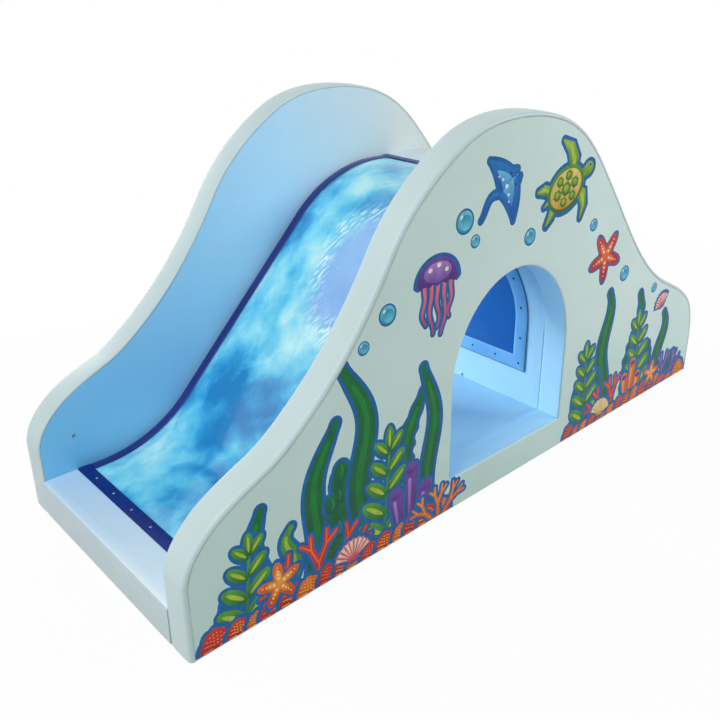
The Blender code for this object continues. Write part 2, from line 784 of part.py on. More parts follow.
clear_scene()
parts = collection("wave_slide")
cutters = collection("cutters")
white_vinyl = material("white_vinyl", (0.72, 0.78, 0.77), 0.45)
pale_vinyl = material("pale_blue_vinyl", (0.60, 0.74, 0.88), 0.42)
blue_vinyl = material("light_blue_vinyl", (0.28, 0.52, 0.80), 0.40)
water_vinyl = material("water_print_vinyl", (0.10, 0.42, 0.78), 0.12, coat=0.6)
navy_vinyl = material("navy_strip", (0.015, 0.035, 0.18), 0.25)
pale_strip = material("window_strip", (0.30, 0.55, 0.85), 0.35)
blue_pane = material("blue_pane", (0.01, 0.08, 0.40), 0.10, coat=0.5)
foam = material("foam", (0.80, 0.78, 0.70), 0.90)
plywood = material("plywood", (0.50, 0.34, 0.18), 0.65)
timber = material("timber", (0.55, 0.38, 0.20), 0.70)
steel = material("zinc_steel", (0.60, 0.60, 0.62), 0.35, metallic=1.0)

near_core, near_outer, near_inner = make_wall(-1, "near")
far_core, far_outer, far_inner = make_wall(1, "far")
make_base()
make_bed()
three_ribs = make_ribs()
make_tunnel()
make_steps()
make_eyelets()
make_rods((near_core, far_core), (near_outer, far_outer), (near_inner, far_inner), three_ribs)
bpy.context.view_layer.update()
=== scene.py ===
import math

import bmesh
import bpy
import numpy as np
from mathutils import Matrix, Vector, noise
from mathutils.geometry import delaunay_2d_cdt


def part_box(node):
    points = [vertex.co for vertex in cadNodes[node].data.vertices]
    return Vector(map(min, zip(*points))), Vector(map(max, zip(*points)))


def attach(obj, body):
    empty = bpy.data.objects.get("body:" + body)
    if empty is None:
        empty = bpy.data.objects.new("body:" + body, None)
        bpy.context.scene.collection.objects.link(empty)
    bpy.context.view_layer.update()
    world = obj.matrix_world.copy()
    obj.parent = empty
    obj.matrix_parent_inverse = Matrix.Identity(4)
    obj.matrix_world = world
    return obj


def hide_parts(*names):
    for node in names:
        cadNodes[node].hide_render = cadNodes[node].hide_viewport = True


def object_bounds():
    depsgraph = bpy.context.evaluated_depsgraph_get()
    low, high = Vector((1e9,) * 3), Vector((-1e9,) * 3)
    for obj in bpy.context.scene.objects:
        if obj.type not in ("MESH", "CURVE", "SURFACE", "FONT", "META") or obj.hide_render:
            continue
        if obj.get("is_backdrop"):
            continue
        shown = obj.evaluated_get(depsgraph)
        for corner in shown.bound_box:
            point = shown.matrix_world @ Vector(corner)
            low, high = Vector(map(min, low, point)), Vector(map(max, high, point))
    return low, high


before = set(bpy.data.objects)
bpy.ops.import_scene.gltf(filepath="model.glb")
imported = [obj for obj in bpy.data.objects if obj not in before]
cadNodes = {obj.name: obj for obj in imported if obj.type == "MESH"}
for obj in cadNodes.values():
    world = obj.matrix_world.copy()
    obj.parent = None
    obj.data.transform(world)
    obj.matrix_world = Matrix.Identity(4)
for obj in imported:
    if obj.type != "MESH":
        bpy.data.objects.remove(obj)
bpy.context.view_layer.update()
bpy.ops.object.select_all(action="DESELECT")
print("frame loaded:", len(cadNodes), "nodes")

# the slide's main sizes in metres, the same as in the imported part
slide = {"length": 2.6, "width": 1.0, "height": 1.293, "wall": 0.1, "foam": 0.0407, "core": 0.018}
halfLength = slide["length"] / 2
halfWidth = slide["width"] / 2
wallInner = halfWidth - slide["wall"]
quarter = math.pi / 2
walls = (("near", -1), ("far", 1))


# finishes: a socket that can be written in sums, and a material that nodes are added to
def mathStep(operation, swapped=False):
    return lambda one, other: one.work(operation, *((other, one) if swapped else (one, other)))


class Wire:
    def __init__(self, tree, socket):
        self.tree, self.socket = tree, socket

    def work(self, operation, first, second, clamp=False):
        step = self.tree.nodes.new("ShaderNodeMath")
        step.operation, step.use_clamp = operation, clamp
        join(self.tree, step.inputs[0], first)
        join(self.tree, step.inputs[1], second)
        return Wire(self.tree, step.outputs[0])

    def limited(self):
        return self.work("ADD", self, 0.0, clamp=True)

    __add__ = __radd__ = mathStep("ADD")
    __sub__, __rsub__ = mathStep("SUBTRACT"), mathStep("SUBTRACT", swapped=True)
    __mul__ = __rmul__ = mathStep("MULTIPLY")
    __truediv__ = mathStep("DIVIDE")
    power, either = mathStep("POWER"), mathStep("MAXIMUM")


def join(tree, slot, value):
    if isinstance(value, Wire):
        tree.links.new(value.socket, slot)
    else:
        slot.default_value = value


def paint(red, green, blue):
    # a colour as a paint chart gives it, 0 to 255, made linear
    chart = [value / 255 for value in (red, green, blue)]
    return tuple(v / 12.92 if v <= 0.04045 else ((v + 0.055) / 1.055) ** 2.4 for v in chart) + (1.0,)


class Finish:
    def __init__(self, name, **shaderValues):
        self.material = bpy.data.materials.new(name)
        self.material.use_nodes = True
        self.tree = self.material.node_tree
        self.shader = self.tree.nodes["Principled BSDF"]
        for socketName, value in shaderValues.items():
            self.set(socketName.replace("_", " "), value)

    def set(self, socketName, value):
        join(self.tree, self.shader.inputs[socketName], value)

    def add(self, kind, settings=None, sockets=None, output=0):
        made = self.tree.nodes.new(kind)
        for key, value in (settings or {}).items():
            if key == "stops":
                ramp = made.color_ramp
                while len(ramp.elements) < len(value):
                    ramp.elements.new(0.5)
                for element, (place, colour) in zip(ramp.elements, value):
                    element.position, element.color = place, colour
            else:
                setattr(made, key, value)
        for key, value in (sockets or {}).items():
            join(self.tree, made.inputs[key], value)
        return Wire(self.tree, made.outputs[output])

    def mapped(self, vector, stretch=(1.0, 1.0, 1.0), turn=(0.0, 0.0, 0.0)):
        return self.add("ShaderNodeMapping", sockets={"Vector": vector, "Scale": stretch, "Rotation": turn})

    def place(self, *stretch):
        return self.mapped(self.add("ShaderNodeTexCoord", output="Object"), *stretch)

    def axes(self, vector):
        split = self.tree.nodes.new("ShaderNodeSeparateXYZ")
        join(self.tree, split.inputs[0], vector)
        return [Wire(self.tree, socket) for socket in split.outputs]

    def cloud(self, vector, scale, detail=3.0, roughness=0.5, distortion=0.0):
        values = {"Vector": vector, "Scale": scale, "Detail": detail, "Roughness": roughness, "Distortion": distortion}
        return self.add("ShaderNodeTexNoise", sockets=values, output="Fac")

    def cells(self, vector, scale):
        return self.add("ShaderNodeTexVoronoi", sockets={"Vector": vector, "Scale": scale}, output="Distance")

    def ramp(self, value, *stops):
        return self.add("ShaderNodeValToRGB", {"stops": stops}, {"Fac": value}, "Color")

    def blend(self, mask, first, second, kind="MIX"):
        settings = {"data_type": "RGBA", "blend_type": kind}
        return self.add("ShaderNodeMix", settings, {0: mask, 6: first, 7: second}, 2)

    def shaded(self, colour, shade):
        grey = self.add("ShaderNodeCombineColor", sockets={0: shade, 1: shade, 2: shade})
        return self.blend(1.0, colour, grey, "MULTIPLY")

    def attribute(self, name, output="Fac"):
        return self.add("ShaderNodeAttribute", {"attribute_name": name}, output=output)

    def span(self, value, low, high, newLow=0.0, newHigh=1.0):
        sockets = {"Value": value, 1: low, 2: high, 3: newLow, 4: newHigh}
        return self.add("ShaderNodeMapRange", {"clamp": True}, sockets)

    def bump(self, height, strength, distance):
        sockets = {"Height": height, "Strength": strength, "Distance": distance}
        self.set("Normal", self.add("ShaderNodeBump", sockets=sockets))


vinylLook = {
    "grainSize": 520.0,  # leather cells per metre
    "grainDepth": 0.12,
    "dentSize": 9.0,
    "dentDepth": 1.3,
    "roughness": (0.36, 0.5),
    "seamShade": 0.03,
}


def vinylFinish(name, colour, printed=False):
    # coated fabric: fine grain, soft dents from the foam, faint cloudiness, painted shade in the seams; printed faces
    # also get painted shade towards the floor and the landing end
    look = Finish(name, Coat_Weight=0.04, Coat_Roughness=0.3, IOR=1.3 if printed else 1.46)
    here = look.place()
    mottle = look.cloud(here, 5.0, 4.0, 0.55)
    speck = look.cloud(here, 60.0, 2.0, 0.5)
    cover = colour(look, here) if callable(colour) else look.blend(mottle, colour, colour)
    cover = look.shaded(cover, look.span(mottle, 0.3, 0.7, 0.955, 1.0) * look.span(speck, 0.3, 0.7, 0.985, 1.0))
    if printed:
        along, _, up = look.axes(here)
        # painted shade: the printed face is darker and greener towards the floor and towards the landing end
        outOfPaintedShade = look.span(up + (mottle - 0.5) * 0.2, 0.0, 0.5) * 0.5 + look.span(along, -1.3, 0.3) * 0.5
        cover = look.blend(outOfPaintedShade.limited(), look.blend(1.0, cover, paint(224, 238, 232), "MULTIPLY"), cover)
        stroke = look.cloud(look.place((1.0, 1.0, 0.35)), 42.0, 3.0, 0.6, 0.6)
        toned = look.shaded(look.attribute("print", "Color"), look.span(stroke, 0.3, 0.7, 0.74, 1.1))
        cover = look.blend(look.attribute("print", "Alpha"), cover, toned)
    seamShade = (look.attribute("seam") * vinylLook["seamShade"]).limited()
    look.set("Base Color", look.blend(seamShade, cover, paint(60, 70, 80)))
    look.set("Roughness", look.span(look.cloud(here, 14.0, 5.0, 0.6), 0.3, 0.7, *vinylLook["roughness"]))
    grain = look.cells(here, vinylLook["grainSize"])
    dents = look.cloud(here, vinylLook["dentSize"], 2.0, 0.5)
    look.bump(grain * vinylLook["grainDepth"] + dents * vinylLook["dentDepth"], 0.5, 0.001)
    return look.material


def fadedBlue(look, here):
    # the inner walls are printed light blue, fading to near white towards the crest and the steps
    along, _, up = look.axes(here)
    fade = look.span(along * 0.7 + up * 0.25, -0.8, 0.56)
    fade = (fade + (look.cloud(here, 2.2, 2.0, 0.5) - 0.5) * 0.25).limited()
    return look.ramp(fade, (0.0, paint(132, 210, 250)), (0.66, paint(194, 234, 255)), (0.95, paint(226, 236, 234)))


def landingPanels(look, here):
    # two vinyls sewn together, told apart by the pad's own panel numbers; the top one pales towards the near wall
    across = look.axes(here)[1]
    top = look.blend(look.span(across, -0.36, 0.3), paint(222, 238, 244), paint(188, 220, 246))
    return look.blend(look.attribute("panel").limited(), paint(186, 204, 208), top)


def grained(name, grains, shares, dark, light, rough, bump, **shaderValues):
    # a finish of two grains, each a stretch with its noise sizes or with a cell size alone; dark and light are
    # a place on the ramp and a colour; rough and bump begin with the number of the grain that they follow
    look = Finish(name, **shaderValues)
    made = []
    for stretch, *sizes in grains:
        here = look.place(stretch)
        made.append(look.cloud(here, *sizes) if len(sizes) > 1 else look.cells(here, *sizes))
    stops = [(place, paint(*colour)) for place, *colour in (dark, light)]
    look.set("Base Color", look.ramp(made[0] * shares[0] + made[1] * shares[1], *stops))
    look.set("Roughness", look.span(made[rough[0]], *rough[1:]))
    look.bump(made[bump[0]], *bump[1:])
    return look.material


even = (1.0, 1.0, 1.0)


def woodFinish(name, dark, light, stretch):
    grains = ((stretch, 6.0, 6.0, 0.62, 1.2), ((1.0, 1.0, 90.0), 4.0, 2.0, 0.4))
    rough, bump = (0, 0.3, 0.7, 0.55, 0.75), (0, 0.25, 0.0006)
    return grained(name, grains, (0.8, 0.2), (0.3, *dark), (0.7, *light), rough, bump, IOR=1.5)


def stripLook(name, dark, light, coat):
    # flexible navy strip, a little scuffed along its crown
    grains = ((even, 4.0, 2.0, 0.5), ((1.0, 3.0, 1.0), 60.0, 3.0, 0.5, 0.3))
    rough, bump = (1, 0.35, 0.7, 0.3, 0.42), (1, 0.06, 0.0004)
    values = {"Coat_Weight": coat, "Coat_Roughness": 0.16, "IOR": 1.35}
    return grained(name, grains, (0.8, 0.2), (0.35, *dark), (0.6, *light), rough, bump, **values)


def metalLook(name, dark, light, rough, scale):
    grains = ((even, scale), (even, 30.0, 4.0, 0.6))
    rough, bump = (1, 0.3, 0.7, rough - 0.06, rough + 0.12), (0, 0.1, 0.0004)
    return grained(name, grains, (0.5, 0.5), (0.25, *dark), (0.7, *light), rough, bump, Metallic=1.0)


def bandLook(name, dark, light, rough):
    grains = ((even, 9.0, 3.0, 0.5), ((1.0, 1.0, 4.0), 40.0, 3.0, 0.6))
    rough, bump = (1, 0.3, 0.7, rough, rough + 0.14), (1, 0.1, 0.0006)
    values = {"Coat_Weight": 0.2, "Coat_Roughness": 0.2, "IOR": 1.5}
    return grained(name, grains, (0.7, 0.3), (0.3, *dark), (0.68, *light), rough, bump, **values)


def foamLook():
    grains = ((even, 7.0, 3.0, 0.5), (even, 420.0))
    dark, light = (0.25, 206, 196, 168), (0.6, 232, 224, 202)
    return grained("upholsteryFoam", grains, (0.7, 0.3), dark, light, (1, 0.0, 0.6, 0.95, 0.8), (1, 0.6, 0.0008))


def paneLook():
    # deep blue sheet, a little lighter where daylight reaches it from above
    look = Finish("bluePane", Coat_Weight=0.6, Coat_Roughness=0.05, IOR=1.5)
    here = look.place()
    up = look.axes(here)[2]
    haze = look.cloud(here, 3.5, 3.0, 0.5)
    tone = (look.span(up, 0.3, 0.78, 0.2, 0.75) + (haze - 0.5) * 0.5).limited()
    blues = (0.1, paint(14, 84, 164)), (0.55, paint(20, 104, 182)), (0.95, paint(50, 150, 214))
    look.set("Base Color", look.ramp(tone, *blues))
    look.set("Roughness", look.span(look.cloud(here, 50.0, 3.0, 0.5), 0.3, 0.7, 0.12, 0.24))
    look.bump(haze, 0.15, 0.002)
    return look.material


whiteVinyl = vinylFinish("whiteVinyl", paint(191, 211, 213))
printedVinyl = vinylFinish("printedWhiteVinyl", paint(220, 242, 237), printed=True)
paleVinyl = vinylFinish("paleBlueVinyl", paint(208, 226, 236))
tunnelVinyl = vinylFinish("lightBlueVinyl", paint(172, 222, 250))
innerVinyl = vinylFinish("fadedBlueVinyl", fadedBlue)
landingVinyl = vinylFinish("landingVinyl", landingPanels)
foamFinish = foamLook()
plyFinish = woodFinish("birchPly", (170, 132, 86), (214, 184, 138), (2.0, 24.0, 24.0))
timberFinish = woodFinish("softwood", (176, 134, 84), (218, 184, 130), (24.0, 2.0, 24.0))
navyFinish = stripLook("navyStrip", (2, 26, 108), (6, 36, 122), 0.0)
# the side strips: the navy strip painted lighter and more purple, a painted sheen for the light that their slope
# catches
sideStripSheenFinish = stripLook("navySideStripPaintedSheen", (18, 30, 104), (34, 44, 122), 0.3)
zincFinish = metalLook("zincPlate", (150, 154, 162), (206, 208, 214), 0.34, 240.0)
# the strip screws: steel tinted light purple-blue, a painted glint of the navy strip round them
stripScrewGlintFinish = metalLook("screwPaintedGlintTint", (98, 104, 150), (158, 166, 200), 0.3, 900.0)
# the ring screws: the same steel, coloured dark blue
ringScrewFinish = metalLook("darkBlueScrew", (40, 58, 92), (74, 96, 132), 0.34, 900.0)
ringFinish = bandLook("windowBand", (92, 164, 220), (116, 182, 230), 0.3)
# the dark bead round the window ring: painted shadow
shadowBeadFinish = bandLook("paintedShadowBead", (20, 44, 92), (30, 66, 120), 0.4)
# dark finish for the eyelets' bores: painted shade for the holes
holeShadeFinish = bandLook("eyeletHolePaintedShade", (30, 42, 56), (46, 62, 78), 0.8)
paneFinish = paneLook()
print("finishes made")

# camera: where the photograph was taken from, found from the base's corners, both wall lines and the arch
view = {
    "place": (-2.0388, -2.0382, 1.6454), "yaw": 44.655, "pitch": 22.473, "roll": 0.756,
    "lens": 40.789, "shiftX": -0.06736, "shiftY": -0.05485,
}


def makeCamera():
    yaw, pitch, roll = (math.radians(view[key]) for key in ("yaw", "pitch", "roll"))
    ahead = Vector((math.cos(pitch) * math.sin(yaw), math.cos(pitch) * math.cos(yaw), -math.sin(pitch)))
    right = ahead.cross(Vector((0, 0, 1))).normalized()
    up = right.cross(ahead)
    turnedRight = right * math.cos(roll) + up * math.sin(roll)
    turnedUp = up * math.cos(roll) - right * math.sin(roll)
    bpy.ops.object.camera_add(location=view["place"])
    camera = bpy.context.object
    camera.name = "photoCamera"
    camera.rotation_mode = "QUATERNION"
    camera.rotation_quaternion = Matrix((turnedRight, turnedUp, -ahead)).transposed().to_quaternion()
    camera.data.lens, camera.data.sensor_width = view["lens"], 36.0
    camera.data.shift_x, camera.data.shift_y = view["shiftX"], view["shiftY"]
    bpy.context.scene.camera = camera


makeCamera()
print("camera placed")


# helpers for pieces
def selectOnly(piece):
    bpy.ops.object.select_all(action="DESELECT")
    piece.select_set(True)
    bpy.context.view_layer.objects.active = piece


def applied(piece, kind, **settings):
    # a modifier, applied at once
    made = piece.modifiers.new(kind, kind)
    for key, value in settings.items():
        setattr(made, key, value)
    selectOnly(piece)
    bpy.ops.object.modifier_apply(modifier=made.name)


def finished(piece, look, *replaced, fill=None, slot=None, angle=40):
    # material, smooth faces, the body that carries it and the CAD nodes that it stands for
    piece.data.materials.clear()
    piece.data.materials.append(look)
    selectOnly(piece)
    bpy.ops.object.shade_smooth_by_angle(angle=math.radians(angle))
    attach(piece, "root")
    if replaced:
        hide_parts(*replaced)
    return piece


def copyOf(piece, name):
    made = piece.copy()
    made.data = piece.data.copy()
    made.name = name
    for key in list(made.keys()):
        del made[key]
    made.parent = None
    bpy.context.scene.collection.objects.link(made)
    return made


def reworked(piece, operator, part, **settings):
    # one bmesh operator on all corners or faces of a piece
    work = bmesh.new()
    work.from_mesh(piece.data)
    operator(work, **{part: getattr(work, part)}, **settings)
    work.to_mesh(piece.data)
    work.free()


def meshPiece(name, corners, faces):
    mesh = bpy.data.meshes.new(name)
    mesh.from_pydata([tuple(map(float, corner)) for corner in corners], [], [tuple(map(int, face)) for face in faces])
    mesh.validate()
    piece = bpy.data.objects.new(name, mesh)
    bpy.context.scene.collection.objects.link(piece)
    reworked(piece, bmesh.ops.recalc_face_normals, "faces")
    return piece


def sweep(name, rows, ringClosed):
    # rows of corners, each row a closed section; the rows either form a ring or have end caps
    rows = np.asarray(rows)
    count, width = rows.shape[:2]
    faces = []
    for row in range(count if ringClosed else count - 1):
        here, after = row * width, (row + 1) % count * width
        for column in range(width):
            across = (column + 1) % width
            faces.append((here + column, after + column, after + across, here + across))
    if not ringClosed:
        faces += [tuple(range(width)), tuple(reversed(range((count - 1) * width, count * width)))]
    return meshPiece(name, rows.reshape(-1, 3), faces)


def cornerArray(piece, kind="co"):
    # each corner's place, or its normal
    values = np.empty(len(piece.data.vertices) * 3)
    piece.data.vertices.foreach_get(kind, values)
    return values.reshape(-1, 3)


def setCorners(piece, values):
    piece.data.vertices.foreach_set("co", np.asarray(values).reshape(-1))
    piece.data.update()


def addNumbers(piece, name, values):
    # one number for each corner, such as how near a seam it is
    holder = piece.data.attributes.new(name, "FLOAT", "POINT")
    holder.data.foreach_set("value", np.asarray(values, dtype=np.float32))


def flow(x, y, z=0.0):
    return noise.noise(Vector((x, y, z)))


def arc(centre, radii, start, end, count):
    angles = [start + (end - start) * step / (count - 1) for step in range(count)]
    return [(centre[0] + radii[0] * math.cos(a), centre[1] + radii[1] * math.sin(a)) for a in angles]


def evenLine(line, spacing, extraRuns=(), rounding=int):
    # even places along a line in the slide's side view, the unit heading at each, and the run from the start
    line = np.array(line)
    runs = np.concatenate([[0.0], np.cumsum(np.linalg.norm(np.diff(line, axis=0), axis=1))])
    places = np.linspace(0.0, runs[-1], int(rounding(runs[-1] / spacing)) + 1)
    if len(extraRuns):
        places = np.unique(np.concatenate([places, extraRuns]))
    points = np.stack([np.interp(places, runs, line[:, 0]) - halfLength, np.interp(places, runs, line[:, 1])], 1)
    along = np.stack([np.gradient(points[:, 0], places), np.gradient(points[:, 1], places)], 1)
    return points, along / np.linalg.norm(along, axis=1)[:, None], places


# the wavy outline of both walls: share of the length, share of the height, heading in degrees
wallShape = (
    (0.0000, 0.174, 90), (0.0285, 0.282, 43), (0.1040, 0.370, 26), (0.1560, 0.446, 41),
    (0.2730, 0.742, 60), (0.3810, 0.951, 31), (0.4850, 1.000, 0), (0.6135, 0.931, -34),
    (0.7000, 0.752, -50), (0.8670, 0.412, -30), (0.9690, 0.295, -42), (1.0000, 0.064, -90),
)


def wallLine(spacing, extraRuns=()):
    # places along the outline, the way inwards at each, and the run from the landing's floor
    anchors = [(u * slide["length"], v * slide["height"], math.radians(a)) for u, v, a in wallShape]
    line = [(0.0, 0.0)]
    for (x0, z0, turn0), (x3, z3, turn3) in zip(anchors, anchors[1:]):
        chord = math.dist((x0, z0), (x3, z3))
        bend = abs(turn3 - turn0)
        reach = chord / 3 if bend < 1e-6 else chord * 2 / 3 * math.tan(bend / 4) / math.sin(bend / 2)
        x1, z1 = x0 + reach * math.cos(turn0), z0 + reach * math.sin(turn0)
        x2, z2 = x3 - reach * math.cos(turn3), z3 - reach * math.sin(turn3)
        for step in range(60):
            t = step / 60
            a, b, c, d = (1 - t) ** 3, 3 * t * (1 - t) ** 2, 3 * t * t * (1 - t), t**3
            line.append((a * x0 + b * x1 + c * x2 + d * x3, a * z0 + b * z1 + c * z2 + d * z3))
    points, along, places = evenLine(line + [anchors[-1][:2], (slide["length"], 0.0)], spacing, extraRuns)
    return points, np.stack([along[:, 1], -along[:, 0]], 1), places


tunnel = {"archX": -0.012, "half": 0.305, "sill": 0.12, "spring": 0.44, "top": 0.795}


def archLoop(grow, spacing=0.012):
    # the arch opening's outline, counter-clockwise; every growth gives the same number of points
    half, sill, spring = tunnel["half"] + grow, tunnel["sill"] - grow, tunnel["spring"]
    rise = tunnel["top"] - spring + grow
    wide = round(2 * tunnel["half"] / spacing)
    tall = round((spring - tunnel["sill"]) / spacing)
    bow = 72
    points = [(-half + 2 * half * i / wide, sill) for i in range(wide)]
    points += [(half, sill + (spring - sill) * i / tall) for i in range(tall)]
    points += [(half * math.cos(math.pi * i / bow), spring + rise * math.sin(math.pi * i / bow)) for i in range(bow)]
    points += [(-half, spring + (sill - spring) * i / tall) for i in range(tall)]
    return np.array(points) + (tunnel["archX"], 0.0)


# edge bands: the white strip over the top of each wall, with rounded corners that pull in at the seams
edgeBand = {
    "outerRound": 0.013,
    "innerRound": 0.007,
    "crown": 0.0014,
    "seamDip": 0.0006,
    "pucker": 0.0006,
    "join": 1.86,  # where the band is sewn end to end, as run along it
    "joinDepth": 0.0009,
    "joinReach": 0.0028,
    "puckerReach": 0.012,
    "wave": 0.0006,
    "wrinkle": 0.0008,
    "seamReach": 0.0018,
    "under": (0.0168, 0.0178, 0.0110),  # how deep its underside lies over the outer pad, the core and the inner pad
    "spacing": 0.0075,
}


def bandSection():
    # (distance from the wall's inner face, depth under the top line), and how many of them are on the visible side
    wall, outer, inner, crown = slide["wall"], edgeBand["outerRound"], edgeBand["innerRound"], edgeBand["crown"]
    dip, foam, flat = edgeBand["seamDip"], slide["foam"], wall - outer - inner
    points = [(dip, crown + inner + 0.0022), (0.0006, crown + inner + 0.0008)]
    points += arc((inner, crown + inner), (inner, -inner), math.pi, quarter, 7)
    points += [(inner + flat * i / 15, crown * (1 - math.sin(math.pi * i / 15) ** 0.8)) for i in range(1, 15)]
    points += arc((wall - outer, crown + outer), (outer, -outer), quarter, 0, 9)
    points += [(wall - 0.0006, crown + outer + 0.0008), (wall - dip, crown + outer + 0.0022)]
    core = foam + slide["core"] + 0.0006
    outerDepth, coreDepth, innerDepth = edgeBand["under"]
    hidden = [(wall - dip, outerDepth), (core, outerDepth), (core, coreDepth)]
    hidden += [(foam - 0.0006, coreDepth), (foam - 0.0006, innerDepth), (dip, innerDepth)]
    return points + hidden, len(points)


def makeEdgeBand(label, side):
    marks = [edgeBand["join"] + step for step in (-0.006, -0.0035, -0.0018, 0.0, 0.0018, 0.0035, 0.006)]
    points, inward, runs = wallLine(edgeBand["spacing"], marks)
    section, shown = bandSection()
    lengths = np.cumsum([0.0] + [math.dist(a, b) for a, b in zip(section[: shown - 1], section[1:shown])])
    bend = np.gradient(np.arctan2(inward[:, 0], inward[:, 1]), runs)
    rows, seams = [], []
    for (x, z), (inX, inZ), run, turning in zip(points, inward, runs, bend):
        row = []
        atJoin = math.exp(-(((run - edgeBand["join"]) / edgeBand["joinReach"]) ** 2))
        hollow = min(max(-turning * 0.35, 0.0), 1.0)
        for index, (across, depth) in enumerate(section):
            low = seam = 0.0
            if index < shown:
                nearSeam = min(lengths[index], lengths[-1] - lengths[index])
                wave = 0.5 + flow(run * 24, side * 3, index > shown / 2)
                low = edgeBand["pucker"] * math.exp(-nearSeam / edgeBand["puckerReach"]) * wave
                low += edgeBand["joinDepth"] * atJoin
                low += edgeBand["wave"] * (flow(run * 5, across * 9, side * 5) + 0.5)
                low += edgeBand["wrinkle"] * hollow * (0.5 + flow(run * 55, across * 6, side * 2))
                seam = max(math.exp(-((nearSeam / edgeBand["seamReach"]) ** 2)), 0.7 * atJoin)
            seams.append(seam)
            row.append((x + inX * (depth + low), side * (wallInner + across), max(z + inZ * (depth + low), 0.0)))
        rows.append(row)
    band = sweep(f"{label}EdgeBand", rows, ringClosed=False)
    addNumbers(band, "seam", seams)
    return finished(band, whiteVinyl, f"{label}_wall_edge_pad", fill=0.95, slot="white_vinyl", angle=50)


for label, side in walls:
    makeEdgeBand(label, side)
print("edge bands sewn over both walls")

# the printed sea picture: shapes painted one over another, each a closed outline with a blend of two colours
inks = {
    "outline": paint(0, 104, 172),
    "kelpDeep": paint(0, 86, 72), "kelp": paint(0, 112, 46), "kelpLight": paint(12, 138, 52),
    "leafDeep": paint(0, 104, 56), "leaf": paint(92, 168, 46), "leafLight": paint(178, 204, 64),
    "coral": paint(226, 58, 36), "coralDeep": paint(172, 24, 30), "coralLight": paint(250, 130, 70),
    "orange": paint(246, 126, 24), "orangeLight": paint(254, 190, 70), "orangeDeep": paint(208, 74, 14),
    "violet": paint(118, 74, 168), "violetDeep": paint(76, 46, 128), "violetLight": paint(180, 144, 214),
    "sand": paint(242, 214, 126), "sandDeep": paint(212, 156, 66), "cream": paint(254, 246, 206),
    "pink": paint(240, 124, 140), "pinkDeep": paint(208, 72, 104),
    "bubble": paint(20, 150, 190), "bubbleLight": paint(120, 210, 228), "white": paint(250, 254, 254),
    "shellGreen": paint(96, 152, 40), "shellDeep": paint(44, 104, 34), "skin": paint(160, 194, 62),
    "rayDeep": paint(0, 78, 160), "ray": paint(24, 132, 214), "rayLight": paint(120, 204, 240),
    "dark": paint(14, 36, 48),
}
kelpInks = ("kelpDeep", "kelp", "kelpLight")
leafInks = ("leafDeep", "leaf", "leafLight")
coralInks = ("coralDeep", "coral", "coralLight")
orangeInks = ("orangeDeep", "orange", "orangeLight")
violetInks = ("violetDeep", "violet", "violetLight")
pinkInks = ("pinkDeep", "pink", "cream")
printLayers = []
outlineWidth = 0.0135


def ink(points, low, high=None, start=None, end=None):
    # one closed shape; its colour runs from low to high between the two places, by default upwards
    points = np.asarray(points, dtype=float)
    points[:, 1] = np.maximum(points[:, 1], 0.004)
    start = start or (0.0, points[:, 1].min())
    end = end or (0.0, points[:, 1].max() + 1e-4)
    printLayers.append((points, inks[low][:3], inks[high or low][:3], start, end))


def moved(points, x, z, turn=0.0, size=1.0):
    # a shape drawn round its own middle, sized, turned and set down on the wall
    px, pz = np.asarray(points).T * size
    return np.stack([x + px * math.cos(turn) - pz * math.sin(turn), z + px * math.sin(turn) + pz * math.cos(turn)], 1)


def oval(x, z, wide, tall, turn=0.0, steps=26):
    angles = np.linspace(0, 2 * math.pi, steps, endpoint=False)
    return moved(np.stack([wide * np.cos(angles), tall * np.sin(angles)], 1), x, z, turn)


def inkOvals(ovals, *colours, grow=0.0):
    for x, z, wide, tall, turn in ovals:
        ink(oval(x, z, wide + grow, tall + grow, turn), *colours)


def ribbonShape(middle, half, grow=0.0, cap=6):
    # a strip round a middle line, with a half width at each point and a rounded far end
    middle, half = np.asarray(middle), np.asarray(half) + grow
    along = np.gradient(middle, axis=0)
    along /= np.linalg.norm(along, axis=1)[:, None]
    side = np.stack([-along[:, 1], along[:, 0]], 1)
    tip, lead, out = middle[-1], along[-1], side[-1]
    angles = np.linspace(0, math.pi, cap + 2)[1:-1]
    rounded = [tip + half[-1] * (out * math.cos(a) + lead * math.sin(a)) for a in angles]
    return np.concatenate([middle + side * half[:, None], rounded, (middle - side * half[:, None])[::-1]])


def inkStrips(strips, *colours, grow=0.0, place=np.asarray, cap=6):
    for middle, half in strips:
        ink(place(ribbonShape(middle, half, grow, cap)), *colours)


def kelpBlade(x, height, lean, sway, waves, width, phase, ruffle=0.0, colours=kelpInks):
    t = np.linspace(0, 1, 40)
    middle = np.stack([x + lean * t + sway * np.sin(2 * math.pi * waves * t + phase) * t, height * t], 1)
    half = width * (0.35 + 0.65 * np.sin(math.pi * np.clip(t * 0.92 + 0.12, 0, 1)) ** 0.7)
    half = np.maximum(half + ruffle * np.sin(2 * math.pi * 9 * t + phase) * np.sin(math.pi * t), 0.004)
    inkStrips([(middle, half)], "outline", grow=outlineWidth)
    inkStrips([(middle, half)], *colours[:2])
    inkStrips([(middle[3:-4], half[3:-4] * 0.34)], *colours[1:])


